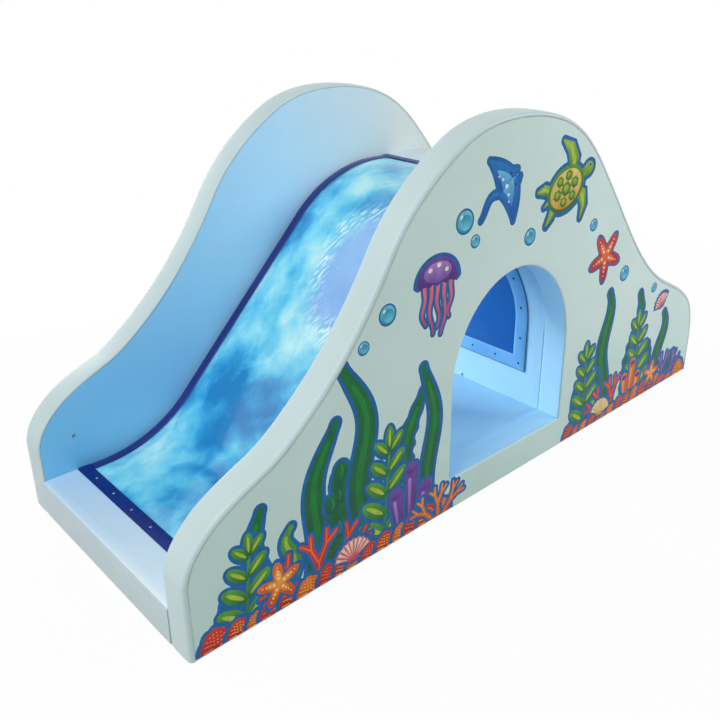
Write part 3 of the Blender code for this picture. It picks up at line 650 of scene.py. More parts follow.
def leafStalk(x, height, lean, pairs, leafLength, leafWidth):
    t = np.linspace(0, 1, 24)
    stalk = [(np.stack([x + lean * t**1.5, height * t], 1), np.full(24, 0.0045))]
    leaves = []
    for pair in range(pairs):
        share = 0.16 + 0.78 * pair / (pairs - 1)
        size = 1.0 - 0.45 * share
        reach = leafLength * size * 0.5
        for hand in (-1, 1):
            turn = quarter - hand * (1.0 - 0.25 * share)
            leafX = x + lean * share**1.5 + reach * math.cos(turn)
            leafZ = height * share + hand * 0.004 + reach * math.sin(turn)
            leaves.append((leafX, leafZ, reach, leafWidth * size * 0.5, turn))
    leaves.append((x + lean, height + leafLength * 0.22, leafLength * 0.3, leafWidth * 0.28, quarter))
    inkStrips(stalk, "outline", grow=outlineWidth * 0.8)
    inkOvals(leaves, "outline", grow=outlineWidth * 0.8)
    inkStrips(stalk, "leafDeep", "leaf")
    for leafX, leafZ, long, short, turn in leaves:
        ink(oval(leafX, leafZ, long, short, turn), "leafDeep", "leaf")
        ink(oval(leafX, leafZ, long * 0.72, short * 0.3, turn, 14), "leafLight")


def branchCoral(x, size, fan, colours=coralInks):
    twigs = []

    def grow(start, heading, length, wide, depth, turnSeed):
        end = (start[0] + length * math.cos(heading), start[1] + length * math.sin(heading))
        twigs.append((np.linspace(start, end, 4), np.linspace(wide, wide * 0.72, 4)))
        if depth:
            for hand in (-1, 1):
                swing = 0.42 + 0.16 * flow(turnSeed * 3.7, hand * 2.3)
                grow(end, heading + hand * swing * fan, length * 0.74, wide * 0.76, depth - 1, turnSeed * 2 + hand + 3)

    for index, heading in enumerate((0.85, 1.57, 2.3)):
        grow((x + (1 - index) * size * 0.16, 0.0), heading, size * 0.36, size * 0.075, 2, index + x * 9 + 1)
    inkStrips(twigs, "outline", grow=outlineWidth * 0.75)
    inkStrips(twigs, *colours[:2], (0, 0), (0, size * 0.8))
    inkStrips([(middle, half * 0.3) for middle, half in twigs], *colours[1:], (0, 0), (0, size * 0.8))


def coralMound(x, wide, tall, colours):
    angles = np.linspace(0, math.pi, 60)
    bumps = 1 + 0.07 * np.abs(np.sin(angles * 5))
    edge = np.stack([np.cos(angles) * bumps, np.sin(angles) * bumps], 1)
    ink(edge * (wide + outlineWidth, tall + outlineWidth) + (x, 0.0), "outline")
    ink(edge * (wide, tall) + (x, 0.0), *colours[:2])
    for row in range(2, 6):
        reach = row / 6.2
        for spot in range(row * 2):
            angle = math.pi * (spot + 0.5) / (row * 2)
            size = 0.05 * min(wide, tall) * (1.6 - reach * 0.5)
            spotX, spotZ = x + wide * reach * math.cos(angle), tall * reach * math.sin(angle)
            ink(oval(spotX, spotZ, size * 1.3, size, 0.0, 10), colours[2])


def reefRow(start, end, height, seed):
    # a low row of pebbly coral along the floor, reds and oranges with dark gaps between
    x, number = start, 0
    while x < end:
        wide = 0.036 * (1.1 + 0.5 * flow(seed, x * 11))
        tall = height * (0.9 + 0.7 * flow(seed + 4, x * 7))
        coralMound(x, wide, tall, (coralInks, coralInks[:2] + orangeInks[2:], orangeInks)[number % 3])
        x += wide * 1.55
        number += 1


def tubeSponge(x, height, colours=violetInks):
    t = np.linspace(0, 1, 8)
    tubes = []
    for shift, share, lean in ((-0.30, 0.72, -0.12), (0.0, 1.0, 0.02), (0.30, 0.62, 0.14)):
        middle = np.stack([x + shift * height * 0.5 + lean * height * t, height * share * t], 1)
        tubes.append((middle, height * (0.075 + 0.05 * t)))
    inkStrips(tubes, "outline", grow=outlineWidth * 0.8, cap=3)
    for middle, half in tubes:
        inkStrips([(middle, half)], *colours[:2], cap=3)
        inkStrips([(middle[1:-1] - (height * 0.03, 0), half[1:-1] * 0.25)], *colours[1:])
        ink(oval(*middle[-1], half[-1] * 0.78, half[-1] * 0.42, 0.0, 16), "violetDeep", "violet")


def seaStar(x, z, radius, turn, colours=orangeInks):
    angles = np.linspace(0, 2 * math.pi, 80, endpoint=False)
    for share, grow, tones in ((1.0, outlineWidth, ["outline"]), (1.0, 0.0, colours[:2]), (0.62, 0.0, colours[1:])):
        reach = (radius * share) * (0.40 + 0.60 * np.abs(np.cos(2.5 * (angles - turn))) ** 1.9) + grow
        ink(np.stack([x + reach * np.cos(angles), z + reach * np.sin(angles)], 1), *tones)
    for arm in range(5):
        heading = turn + 2 * math.pi * arm / 5
        for share in (0.25, 0.43, 0.6, 0.76):
            size = radius * 0.06 * (1.25 - share)
            out = radius * share
            ink(oval(x + out * math.cos(heading), z + out * math.sin(heading), size, size, 0, 10), "cream")


def scallop(x, z, radius, turn, colours=("sandDeep", "sand", "cream"), ribs=9):
    def fan(grow=0.0, fromShare=0.0, toShare=1.0, reach=1.0):
        angles = np.linspace(0.32 + 2.5 * fromShare, 0.32 + 2.5 * toShare, 3 + int(36 * (toShare - fromShare)))
        frill = 1 + 0.035 * np.cos((angles - 0.32) / 2.5 * ribs * 2 * math.pi)
        rim = np.stack([np.cos(angles), np.sin(angles)], 1) * (radius * reach * frill + grow)[:, None]
        foot = [(-grow * 0.7, -grow), (grow * 0.7, -grow)] if grow else [(0, 0)]
        return moved(np.concatenate([rim, foot]), x, z, turn)

    hinge = np.array([(-0.34, -0.06), (-0.26, 0.16), (0.26, 0.16), (0.34, -0.06)]) * radius
    ink(moved(hinge * 1.2 - (0, outlineWidth * 0.4), x, z, turn), "outline")
    ink(fan(outlineWidth), "outline")
    ink(moved(hinge, x, z, turn), colours[0])
    ink(fan(), *colours[:2])
    for rib in range(ribs):
        ink(fan(0.0, (rib + 0.22) / ribs, (rib + 0.78) / ribs, 0.96), *colours[1:])
    ink(fan(0.0, 0.0, 1.0, 0.34), *colours[:2])


def seaTurtle(x, z, size, turn):
    def place(points):
        return moved(points, x, z, turn, size)

    grow = outlineWidth / size
    limbs = (
        # middle line and half widths of the flippers, the hind legs, the tail and the neck
        (((0.22, 0.18), (0.34, 0.42), (0.30, 0.66), (0.14, 0.86)), (0.10, 0.14, 0.11, 0.03)),
        (((0.26, -0.14), (0.42, -0.34), (0.40, -0.56), (0.26, -0.74)), (0.09, 0.12, 0.09, 0.03)),
        (((-0.40, 0.14), (-0.56, 0.28), (-0.72, 0.32)), (0.09, 0.09, 0.04)),
        (((-0.40, -0.14), (-0.54, -0.28), (-0.68, -0.36)), (0.08, 0.08, 0.04)),
        (((-0.52, 0.0), (-0.66, -0.01)), (0.05, 0.015)),
        (((0.45, 0.0), (0.62, 0.03)), (0.10, 0.10)),
    )
    inkStrips(limbs, "outline", grow=grow, place=place)
    ink(place(oval(0.70, 0.04, 0.15 + grow, 0.12 + grow, 0.1)), "outline")
    ink(place(oval(0.0, 0.0, 0.54 + grow, 0.40 + grow)), "outline")
    for middle, half in limbs:
        inkStrips([(middle, half)], "shellDeep", "skin", place=place)
        inkStrips([(middle, np.array(half) * 0.4)], "skin", "leafLight", place=place)
    ink(place(oval(0.70, 0.04, 0.15, 0.12, 0.1)), "shellGreen", "skin")
    ink(place(oval(0.76, 0.08, 0.022, 0.026, 0.0, 10)), "dark")
    ink(place(oval(0.0, 0.0, 0.54, 0.40)), "shellDeep", "shellGreen")
    ink(place(oval(0.0, 0.0, 0.46, 0.33)), "sandDeep", "sand")
    plates = [(0.0, 0.0, 0.15), (0.26, 0.0, 0.12), (-0.26, 0.0, 0.12)]
    plates += [(px, pz, 0.11) for pz in (0.20, -0.20) for px in (0.13, -0.13)]
    for px, pz, reach in plates:
        ink(place(oval(px, pz, reach, reach * 0.92, 0.0, 6)), "shellDeep", "shellGreen")
        ink(place(oval(px, pz, reach * 0.55, reach * 0.506, 0.0, 6)), "shellGreen", "leafLight")


def jellyfish(x, z, size, colours=violetInks):
    bell = np.linspace(math.pi, 0, 30)
    hem = np.linspace(1, -1, 33)[1:-1]
    top = np.stack([np.cos(bell), 0.86 * np.sin(bell)], 1)
    outline = np.concatenate([top, np.stack([hem, -0.16 + 0.10 * np.abs(np.sin(hem * math.pi * 2.5))], 1)])
    t = np.linspace(0, 1, 22)
    arms = []
    for index, (shift, length) in enumerate(((-0.62, 1.35), (-0.3, 1.75), (0.02, 1.55), (0.34, 1.85), (0.64, 1.3))):
        middle = np.stack([shift + 0.14 * np.sin(t * 7 + index * 1.3) * t, -0.08 - length * t], 1) * size + (x, z)
        arms.append((middle, size * (0.085 - 0.05 * t)))
    inkStrips(arms, "outline", grow=outlineWidth * 0.7)
    ink(outline * (size + outlineWidth) + (x, z), "outline")
    inkStrips(arms, "pinkDeep", "pink")
    ink(outline * size + (x, z), *colours[:2])
    ink(oval(x, z + size * 0.34, size * 0.66, size * 0.36), *colours[1:])
    for shift, up in ((-0.36, 0.46), (0.05, 0.58), (0.42, 0.36)):
        ink(oval(x + size * shift, z + size * up, size * 0.1, size * 0.075, 0.3, 12), "cream")


def bubble(x, z, radius):
    ink(oval(x, z, radius, radius, 0, 30), "outline")
    ink(oval(x, z, radius * 0.84, radius * 0.84, 0, 28), "bubble", "bubbleLight")
    ink(oval(x + radius * 0.1, z - radius * 0.1, radius * 0.62, radius * 0.6, 0, 24), "bubbleLight", "bubble")
    ink(oval(x - radius * 0.38, z + radius * 0.38, radius * 0.2, radius * 0.11, 0.8, 14), "white")


def bush(x, wide, tall, seed, colours=kelpInks):
    # a dense clump: overlapping lobes, all outlined first
    lobes = []
    for row in range(7):
        share = row / 6
        reach = wide * (0.8 - 0.68 * share) * (1 + 0.4 * flow(seed, row * 1.7))
        for hand in (-1, 1, 0):
            size = wide * (0.56 - 0.2 * share) * (1 + 0.3 * flow(seed + 3, row * 2.1, hand))
            lobeX = x + hand * reach + wide * 0.3 * flow(seed + 7, row * 1.3, hand)
            lobes.append((lobeX, tall * (share + 0.06 * hand), size * 0.8, size, 0.2))
    inkOvals(lobes, "outline", grow=outlineWidth)
    inkOvals(lobes, *colours[:2])
    for lobeX, lobeZ, short, long, _ in lobes[1::2]:
        vein = [(lobeX, lobeZ - long * 0.6), (lobeX + short * 0.2, lobeZ), (lobeX, lobeZ + long * 0.6)]
        ink(ribbonShape(vein, [short * 0.14] * 3), colours[2])


def mantaRay(x, z, size, turn):
    def place(points):
        return moved(points, x, z, turn, size)

    t = np.linspace(0, 1, 12)
    tail = [(np.stack([-0.4 - 1.1 * t, 0.16 * np.sin(t * 4.5)], 1), 0.05 * (1 - t) + 0.012)]
    horns = [(((0.36, hand * 0.16), (0.52, hand * 0.2), (0.6, hand * 0.14)), (0.06, 0.05, 0.02)) for hand in (-1, 1)]
    wings = [(np.stack([0.02 - 0.34 * t**2, hand * 1.2 * t], 1), 0.44 * (1 - t**1.3) + 0.015) for hand in (-1, 1)]
    inkStrips(tail + horns + wings, "outline", grow=outlineWidth / size, place=place)
    inkStrips(tail + horns + wings, "rayDeep", "ray", place=place)
    inkStrips([(middle * 0.6, half * 0.6) for middle, half in wings], "ray", "rayLight", place=place)
    spots = (-0.05, 0.0, 0.07), (-0.1, 0.3, 0.05), (-0.1, -0.3, 0.05), (-0.2, 0.5, 0.035), (-0.2, -0.5, 0.035)
    for px, pz, spot in spots:
        ink(place(oval(px, pz, spot, spot, 0, 12)), "white")
    for hand in (-1, 1):
        ink(place(oval(0.3, hand * 0.22, 0.035, 0.045, 0, 10)), "dark")


seaLayout = (
    # left of the tunnel
    (bush, -1.17, 0.055, 0.13, 1.0),
    (kelpBlade, -1.05, 0.36, -0.03, 0.03, 1.0, 0.030, 0.9),
    (kelpBlade, -0.90, 0.52, 0.07, 0.04, 1.1, 0.034, 0.4),
    (bush, -0.79, 0.075, 0.34, 2.0),
    (kelpBlade, -0.68, 0.68, -0.05, 0.05, 1.3, 0.038, 2.2),
    (kelpBlade, -0.55, 0.50, 0.07, 0.035, 1.0, 0.032, 1.0, 0.007),
    (bush, -0.48, 0.06, 0.20, 3.0),
    (kelpBlade, -0.42, 0.58, 0.00, 0.035, 1.2, 0.028, 3.0),
    (kelpBlade, -0.99, 0.26, 0.04, 0.03, 1.3, 0.026, 4.0, 0.0, leafInks),
    (leafStalk, -0.61, 0.36, 0.02, 5, 0.14, 0.062),
    (leafStalk, -1.12, 0.25, 0.02, 4, 0.12, 0.055),
    (branchCoral, -0.87, 0.24, 1.1),
    (tubeSponge, -0.50, 0.24),
    (reefRow, -1.22, -0.34, 0.062, 1.5),
    (branchCoral, -0.37, 0.15, 1.0, orangeInks),
    (scallop, -0.74, 0.03, 0.075, 0.1, pinkInks),
    (seaStar, -1.01, 0.095, 0.075, 0.4),
    (jellyfish, -0.40, 0.84, 0.088),
    (bubble, -0.60, 0.79, 0.034),
    (bubble, -0.69, 0.715, 0.022),
    # over the tunnel
    (seaTurtle, 0.21, 1.02, 0.19, 0.35),
    (mantaRay, -0.10, 1.08, 0.10, 0.55),
    (bubble, -0.29, 1.00, 0.040),
    (bubble, 0.03, 0.89, 0.030),
    (bubble, -0.24, 0.93, 0.022),
    # right of the tunnel
    (seaStar, 0.50, 0.72, 0.098, 0.9, coralInks),
    (bubble, 0.65, 0.62, 0.032),
    (bubble, 0.40, 0.86, 0.024),
    (scallop, 0.99, 0.40, 0.055, 0.5, pinkInks),
    (bubble, 0.90, 0.50, 0.022),
    (kelpBlade, 0.40, 0.34, 0.03, 0.03, 1.2, 0.028, 1.4),
    (kelpBlade, 0.60, 0.56, -0.06, 0.04, 1.3, 0.034, 0.6),
    (bush, 0.52, 0.06, 0.22, 4.0),
    (kelpBlade, 0.75, 0.50, 0.05, 0.035, 1.1, 0.032, 2.6, 0.007),
    (bush, 0.90, 0.065, 0.22, 5.0),
    (kelpBlade, 1.00, 0.36, 0.02, 0.03, 1.2, 0.028, 1.9),
    (bush, 1.14, 0.055, 0.12, 6.0),
    (leafStalk, 0.84, 0.36, -0.03, 5, 0.13, 0.058),
    (leafStalk, 0.46, 0.33, -0.02, 5, 0.12, 0.054),
    (branchCoral, 0.66, 0.22, 1.1),
    (branchCoral, 1.07, 0.19, 1.0, violetInks),
    (tubeSponge, 0.80, 0.19, orangeInks),
    (reefRow, 0.37, 1.23, 0.058, 6.5),
    (scallop, 0.58, 0.03, 0.07, -0.1),
    (seaStar, 0.97, 0.085, 0.062, 0.2),
)
for motif, *sizes in seaLayout:
    motif(*sizes)
print("sea picture laid out:", len(printLayers), "shapes")

# wall covers: flat padded faces, rounded into their seams, with the arch opening cut through
cover = {
    "roundAt": (0.0, 0.0014, 0.0036, 0.0075, 0.013),
    "roundDepth": (0.0006, 0.0003, 0.0001, 0.00003, 0.0),
    "archAt": (0.0, 0.0011, 0.0028, 0.0058, 0.011),
    "archDepth": (0.0036, 0.0015, 0.0006, 0.00018, 0.0),
    "foot": 0.0006,
    "ripple": 0.0010,
    "clear": 0.02,
    "seamReach": 0.0022,
    # for the printed faces, then for the plain inner ones: line spacing, grid step, arch's growth, and the depth and
    # growth of the lip behind the arch's edge
    "outward": (0.009, 0.03, 0.0008, 0.0012, 0.0082),
    "inward": (0.014, 0.05, 0.0090, 0.002, 0.0),
}


def insetLoop(points, inward, inset, foot):
    # closed loop inside the wall's outline: over the top, then back along the floor
    shifted = points + inward * inset
    shifted = shifted[shifted[:, 1] > foot + 0.003]
    first, last = shifted[0, 0], shifted[-1, 0]
    floorX = np.linspace(last, first, int((last - first) / 0.02))[1:-1]
    floorLine = np.stack([floorX, np.full(len(floorX), foot)], 1)
    return np.concatenate([[(first, foot)], shifted, [(last, foot)], floorLine])


def inLoop(spots, loop):
    # which spots lie inside a closed loop
    inside = np.zeros(len(spots), bool)
    for (x0, z0), (x1, z1) in zip(loop, np.roll(loop, -1, axis=0)):
        if z0 != z1:
            crosses = (z0 > spots[:, 1]) != (z1 > spots[:, 1])
            inside ^= crosses & (spots[:, 0] < (x1 - x0) * (spots[:, 1] - z0) / (z1 - z0) + x0)
    return inside


def awayFrom(spots, loop):
    # distance of each spot from a closed loop
    best = np.full(len(spots), 1e9)
    for start, end in zip(loop, np.roll(loop, -1, axis=0)):
        edge = end - start
        share = np.clip(((spots - start) @ edge) / max(edge @ edge, 1e-12), 0, 1)
        best = np.minimum(best, np.linalg.norm(spots - start - share[:, None] * edge, axis=1))
    return best


def triangulated(loops, extraSpots, outer, hole):
    # triangles over the region between the outer loop and the hole, with every loop kept as edges
    spots = [Vector(spot) for loop in loops for spot in loop] + [Vector(spot) for spot in extraSpots]
    edges, start = [], 0
    for loop in loops:
        edges += [(start + i, start + (i + 1) % len(loop)) for i in range(len(loop))]
        start += len(loop)
    made, _, faces, origins, _, _ = delaunay_2d_cdt(spots, edges, [], 0, 1e-6, True)
    made = np.array([tuple(spot) for spot in made])
    faces = np.array([tuple(face) for face in faces])
    middles = made[faces].mean(axis=1)
    index = {old: new for new, olds in enumerate(origins) for old in olds}
    return made, faces[inLoop(middles, outer) & ~inLoop(middles, hole)], index


def makeFaceCover(label, side, outwardFace, look, slot, layers=()):
    lineSpacing, gridStep, archGrow, lipDepth, lipGrow = cover["outward" if outwardFace else "inward"]
    points, inward, _ = wallLine(lineSpacing)
    band = edgeBand["outerRound" if outwardFace else "innerRound"] + edgeBand["crown"] + 0.0024
    face, depthWay = (halfWidth, -1) if outwardFace else (wallInner, 1)
    back = face + depthWay * slide["foam"]
    outer = insetLoop(points, inward, band, cover["foot"])
    arch = archLoop(archGrow)
    loops = [outer, arch]
    loops += [insetLoop(points, inward, band + step, cover["foot"] + step) for step in cover["roundAt"][1:]]
    loops += [archLoop(archGrow + step) for step in cover["archAt"][1:]]
    loops += [layer[0] for layer in layers]
    grid = np.meshgrid(np.arange(-halfLength, halfLength, gridStep), np.arange(0, 1.3, gridStep))
    grid = np.stack(grid, -1).reshape(-1, 2)
    grid = grid + (np.arange(len(grid)) % 2)[:, None] * (0.0, gridStep * 0.37)
    grid = grid[inLoop(grid, outer) & ~inLoop(grid, arch)]
    grid = grid[np.minimum(awayFrom(grid, outer), awayFrom(grid, arch)) > cover["clear"]]
    made, faces, index = triangulated(loops, grid, outer, arch)

    archDepth = cover["archDepth" if outwardFace else "roundDepth"]
    depth = np.interp(awayFrom(made, outer), cover["roundAt"], cover["roundDepth"])
    depth += np.interp(awayFrom(made, arch), cover["archAt"], archDepth)
    depth += [cover["ripple"] * (0.5 + 0.5 * flow(x * 2.6, z * 2.6, side * 4.0 + face)) for x, z in made]
    corners = [(x, side * (face + depthWay * low), z) for (x, z), low in zip(made, depth)]

    def backLoop(loop, first, grow, y):
        # the next ring of corners behind a loop
        ends = np.roll(loop, -1, axis=0) - np.roll(loop, 1, axis=0)
        ends /= np.linalg.norm(ends, axis=1)[:, None]
        shifted = loop + np.stack([ends[:, 1], -ends[:, 0]], 1) * grow
        count = len(loop)
        ring = list(range(len(corners), len(corners) + count))
        corners.extend((x, side * y, z) for x, z in shifted)
        sides = [(first[i], first[(i + 1) % count], ring[(i + 1) % count], ring[i]) for i in range(count)]
        return shifted, ring, sides

    outerRing = [index[i] for i in range(len(outer))]
    archRing = [index[len(outer) + i] for i in range(len(arch))]
    lip = face + depthWay * (archDepth[0] + lipDepth)
    _, outerBack, outerFaces = backLoop(outer, outerRing, 0.0, back)
    archLip, lipRing, lipFaces = backLoop(arch, archRing, lipGrow, lip)
    archDeep, archBack, deepFaces = backLoop(archLip, lipRing, 0.0, back)
    _, capFaces, index = triangulated([outer, archDeep], [], outer, archDeep)
    ringOf = {index[i]: corner for i, corner in enumerate(outerBack + archBack)}
    cap = [tuple(ringOf[corner] for corner in part) for part in capFaces if all(corner in ringOf for corner in part)]
    front = [tuple(part) for part in faces]
    kind = "outer" if outwardFace else "inner"
    piece = meshPiece(f"{label}{kind.title()}Cover", corners, front + outerFaces + lipFaces + deepFaces + cap)
    if layers:
        printOn(piece, len(front), layers)
    near = np.minimum(awayFrom(np.array([(c[0], c[2]) for c in corners]), outer), 1.0)
    addNumbers(piece, "seam", np.exp(-((near / cover["seamReach"]) ** 2)))
    return finished(piece, look, f"{label}_wall_{kind}_pad", fill=0.95, slot=slot, angle=50)


def printOn(piece, faceCount, layers):
    # each front face takes the colour of the last shape that holds its middle
    mesh = piece.data
    middles = np.array([(face.center.x, face.center.z) for face in mesh.polygons[:faceCount]])
    owner = np.full(faceCount, -1)
    for number, (loop, *_) in enumerate(layers):
        low, high = loop.min(axis=0), loop.max(axis=0)
        near = np.nonzero(((middles >= low) & (middles <= high)).all(axis=1))[0]
        owner[near[inLoop(middles[near], loop)]] = number
    colours = np.zeros((len(mesh.loops), 4), np.float32)
    for face in np.nonzero(owner >= 0)[0]:
        _, lowInk, highInk, start, end = layers[owner[face]]
        runX, runZ = end[0] - start[0], end[1] - start[1]
        for corner in mesh.polygons[int(face)].loop_indices:
            x, _, z = mesh.vertices[mesh.loops[corner].vertex_index].co
            share = ((x - start[0]) * runX + (z - start[1]) * runZ) / (runX * runX + runZ * runZ)
            share = min(max(share, 0.0), 1.0)
            colours[corner] = [a + (b - a) * share for a, b in zip(lowInk, highInk)] + [1.0]
    mesh.color_attributes.new("print", "FLOAT_COLOR", "CORNER").data.foreach_set("color", colours.reshape(-1))


for label, side in walls:
    makeFaceCover(label, side, True, printedVinyl, "white_vinyl", printLayers)
    makeFaceCover(label, side, False, innerVinyl, "light_blue_vinyl")
    print(label, "wall covered")

# arch linings: a blue sleeve round each opening
lining = {"thickness": 0.0078, "endRound": 0.003, "outerEnd": 0.4942, "innerEnd": 0.4005, "belly": 0.0008}


def makeLining(label, side):
    # (growth of the arch, distance from the slide's middle) round the sleeve's section
    thick, soft, start, end = (lining[key] for key in ("thickness", "endRound", "innerEnd", "outerEnd"))
    section = arc((soft, start + soft), (-soft, -soft), quarter, 0, 5)
    for share in (0.2, 0.4, 0.6, 0.8):
        section.append((lining["belly"] * 4 * (share - 0.5) ** 2, start + soft + (end - start - 2 * soft) * share))
    section += arc((soft, end - soft), (-soft, soft), 0, quarter, 5) + [(thick, end), (thick, start)]
    loops = [archLoop(grow) for grow, _ in section]
    rows = [[(loop[i][0], side * y, loop[i][1]) for loop, (_, y) in zip(loops, section)] for i in range(len(loops[0]))]
    sleeve = sweep(f"{label}ArchSleeve", rows, ringClosed=True)
    return finished(sleeve, tunnelVinyl, f"{label}_arch_lining", fill=0.9, slot="light_blue_vinyl", angle=35)


for label, side in walls:
    makeLining(label, side)
print("arch sleeves fitted")

# the sliding bed: its curve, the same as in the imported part
bed = {
    "from": 0.116, "to": 1.543, "lowZ": 0.125, "highZ": 1.0,
    "lowCentre": (0.2, 0.575), "lowRadius": 0.45, "highCentre": (1.45, 0.47), "highRadius": 0.53,
    "strip": 0.045, "halfWidth": 0.3994,
}
lowCentre, highCentre = np.array(bed["lowCentre"]), np.array(bed["highCentre"])
bedGap = highCentre - lowCentre
bedTurn = math.atan2(bedGap[1], bedGap[0]) + math.asin((bed["lowRadius"] + bed["highRadius"]) / np.linalg.norm(bedGap))


def bedPath(spacing):
    # places along the bed, the way up from it at each, and the run from the landing
    low, high = bed["lowRadius"], bed["highRadius"]
    line = [(bed["from"], bed["lowZ"])] + arc(lowCentre, (low, low), -quarter, bedTurn - quarter, 60)
    line += arc(highCentre, (high, high), bedTurn + quarter, quarter, 60) + [(bed["to"], bed["highZ"])]
    points, along, places = evenLine(line, spacing, rounding=round)
    return points, np.stack([-along[:, 1], along[:, 0]], 1), places


# water mattress: filled, crowned and held down round its edge
mattress = {
    "sideRim": 0.0372,
    "rimTop": -0.0036,
    "underside": -0.0253,
    "grid": 0.012,
    "crown": 0.013,
    "swell": 0.0035,
    "crinkle": 0.0012,
    "calmReflection": (1.1, -0.1, 0.24, 0.2),  # the smooth hollow on the hump that the creases run round, where the violet painted reflection lies too: run, place, reaches
    "pressure": 1.2,
    "frames": 14,
    "slack": 0.012,
    "cap": 0.006,
    "ease": 0.06,
    "endReach": 0.05,
    "sideReach": 0.035,
}

# broad lighter and darker places in the print: (run, place across, reaches), how much
waterZones = (
    ((0.20, 0.27, 0.22, 0.11), 0.10), ((0.13, 0.02, 0.08, 0.16), 0.04), ((0.60, 0.22, 0.11, 0.10), -0.12),
    ((0.55, 0.0, 0.10, 0.16), -0.07), ((0.36, 0.05, 0.14, 0.2), -0.07), ((1.06, 0.2, 0.36, 0.07), 0.08),
    ((0.86, 0.03, 0.14, 0.10), 0.07), ((1.48, 0.12, 0.09, 0.16), 0.05), ((1.36, 0.02, 0.07, 0.10), -0.07),
)


def waterFinish():
    # printed water under a glossy clear film: broad painted blues; on the hump a calm pale violet zone, a painted
    # reflection, with creases round it that carry painted sparkles; a small painted glint low on the far side
    look = Finish("waterPrint", Coat_Weight=0.6, Coat_Roughness=0.06, IOR=1.5)
    lay = look.attribute("lay", "Vector")
    run, across, crease = look.axes(lay)
    ragged = (look.cloud(lay, 7.0, 4.0, 0.6) - 0.5) * 1.3

    def zone(centreRun, centreY, reachRun, reachY, soft=0.6):
        # 1 in the middle of an oval zone with a ragged edge, 0 outside
        alongPart, acrossPart = (run - centreRun) / reachRun, (across - centreY) / reachY
        return look.span(alongPart * alongPart + acrossPart * acrossPart + ragged, 1.0 - soft, 1.0 + soft, 1.0, 0.0)

    turned = look.mapped(lay, (1.0, 1.15, 0.0), (0, 0, 0.6))
    daubs = look.cloud(turned, 11.0, 2.0, 0.5, 0.5)
    tone = look.cloud(turned, 3.4, 2.0, 0.5, 0.5) * 0.66 + daubs * 0.26 + look.cloud(turned, 40.0, 3.0, 0.6, 0.4) * 0.08
    tone = tone + look.span(run, 0.1, 1.5, -0.005, 0.035)
    for place, amount in waterZones:
        tone = tone + zone(*place) * amount
    colour = look.ramp(
        tone.limited(),
        (0.34, paint(20, 126, 190)), (0.42, paint(46, 158, 214)), (0.50, paint(90, 196, 232)),
        (0.59, paint(134, 220, 240)), (0.69, paint(188, 240, 242)),
    )
    # painted reflection: a pale violet-blue zone on the hump
    violet = look.blend(look.cloud(turned, 5.0, 2.0, 0.5), paint(118, 164, 232), paint(158, 196, 242))
    colour = look.blend(zone(*mattress["calmReflection"], 0.35) * 0.85, colour, violet)
    dashes = look.mapped(look.mapped(lay, even, (0, 0, 0.44)), (0.4, 1.5, 0.0))
    # painted highlights: short bright dashes along the creases
    paintedCreaseSparkle = look.span(look.cloud(dashes, 62.0, 1.0, 0.5), 0.5, 0.56) * crease
    colour = look.blend((paintedCreaseSparkle * 1.1).limited(), colour, paint(214, 248, 252))
    # painted glint: small bright spots low on the far side
    paintedWaterGlint = zone(0.22, 0.31, 0.035, 0.03, 0.8) * look.span(look.cells(lay, 70.0), 0.3, 0.1)
    look.set("Base Color", look.blend((paintedWaterGlint * 1.2).limited(), colour, paint(226, 250, 252)))
    look.set("Roughness", look.span(daubs, 0.3, 0.7, 0.16, 0.3))
    creases = look.cloud(dashes, 80.0, 3.0, 0.6, 0.8)
    look.bump(creases * crease * 1.6 + look.cloud(lay, 26.0, 3.0, 0.5, 0.4) * 0.4, 0.35, 0.0012)
    return look.material


def puffed(piece, pressure, frames, cap, held=None, slack=0.0):
    # cloth simulation that fills a piece with air for a moment; gives how far each corner moved, at most cap
    before = cornerArray(piece)
    cloth = piece.modifiers.new("Cloth", "CLOTH")
    settings = cloth.settings
    settings.quality = 4
    settings.mass = 0.4
    settings.tension_stiffness = settings.compression_stiffness = 18
    settings.shear_stiffness = 8
    settings.bending_stiffness = 0.8
    settings.use_pressure = True
    settings.uniform_pressure_force = pressure
    settings.effector_weights.gravity = 0
    settings.shrink_min = -slack
    if held:
        settings.vertex_group_mass = held
    cloth.point_cache.frame_start, cloth.point_cache.frame_end = 1, frames
    for step in range(1, frames + 1):
        bpy.context.scene.frame_set(step)
    selectOnly(piece)
    bpy.ops.object.modifier_apply(modifier="Cloth")
    bpy.context.scene.frame_set(1)
    moves = cornerArray(piece) - before
    return moves * np.minimum(1.0, cap / np.maximum(np.linalg.norm(moves, axis=1), 1e-9))[:, None]


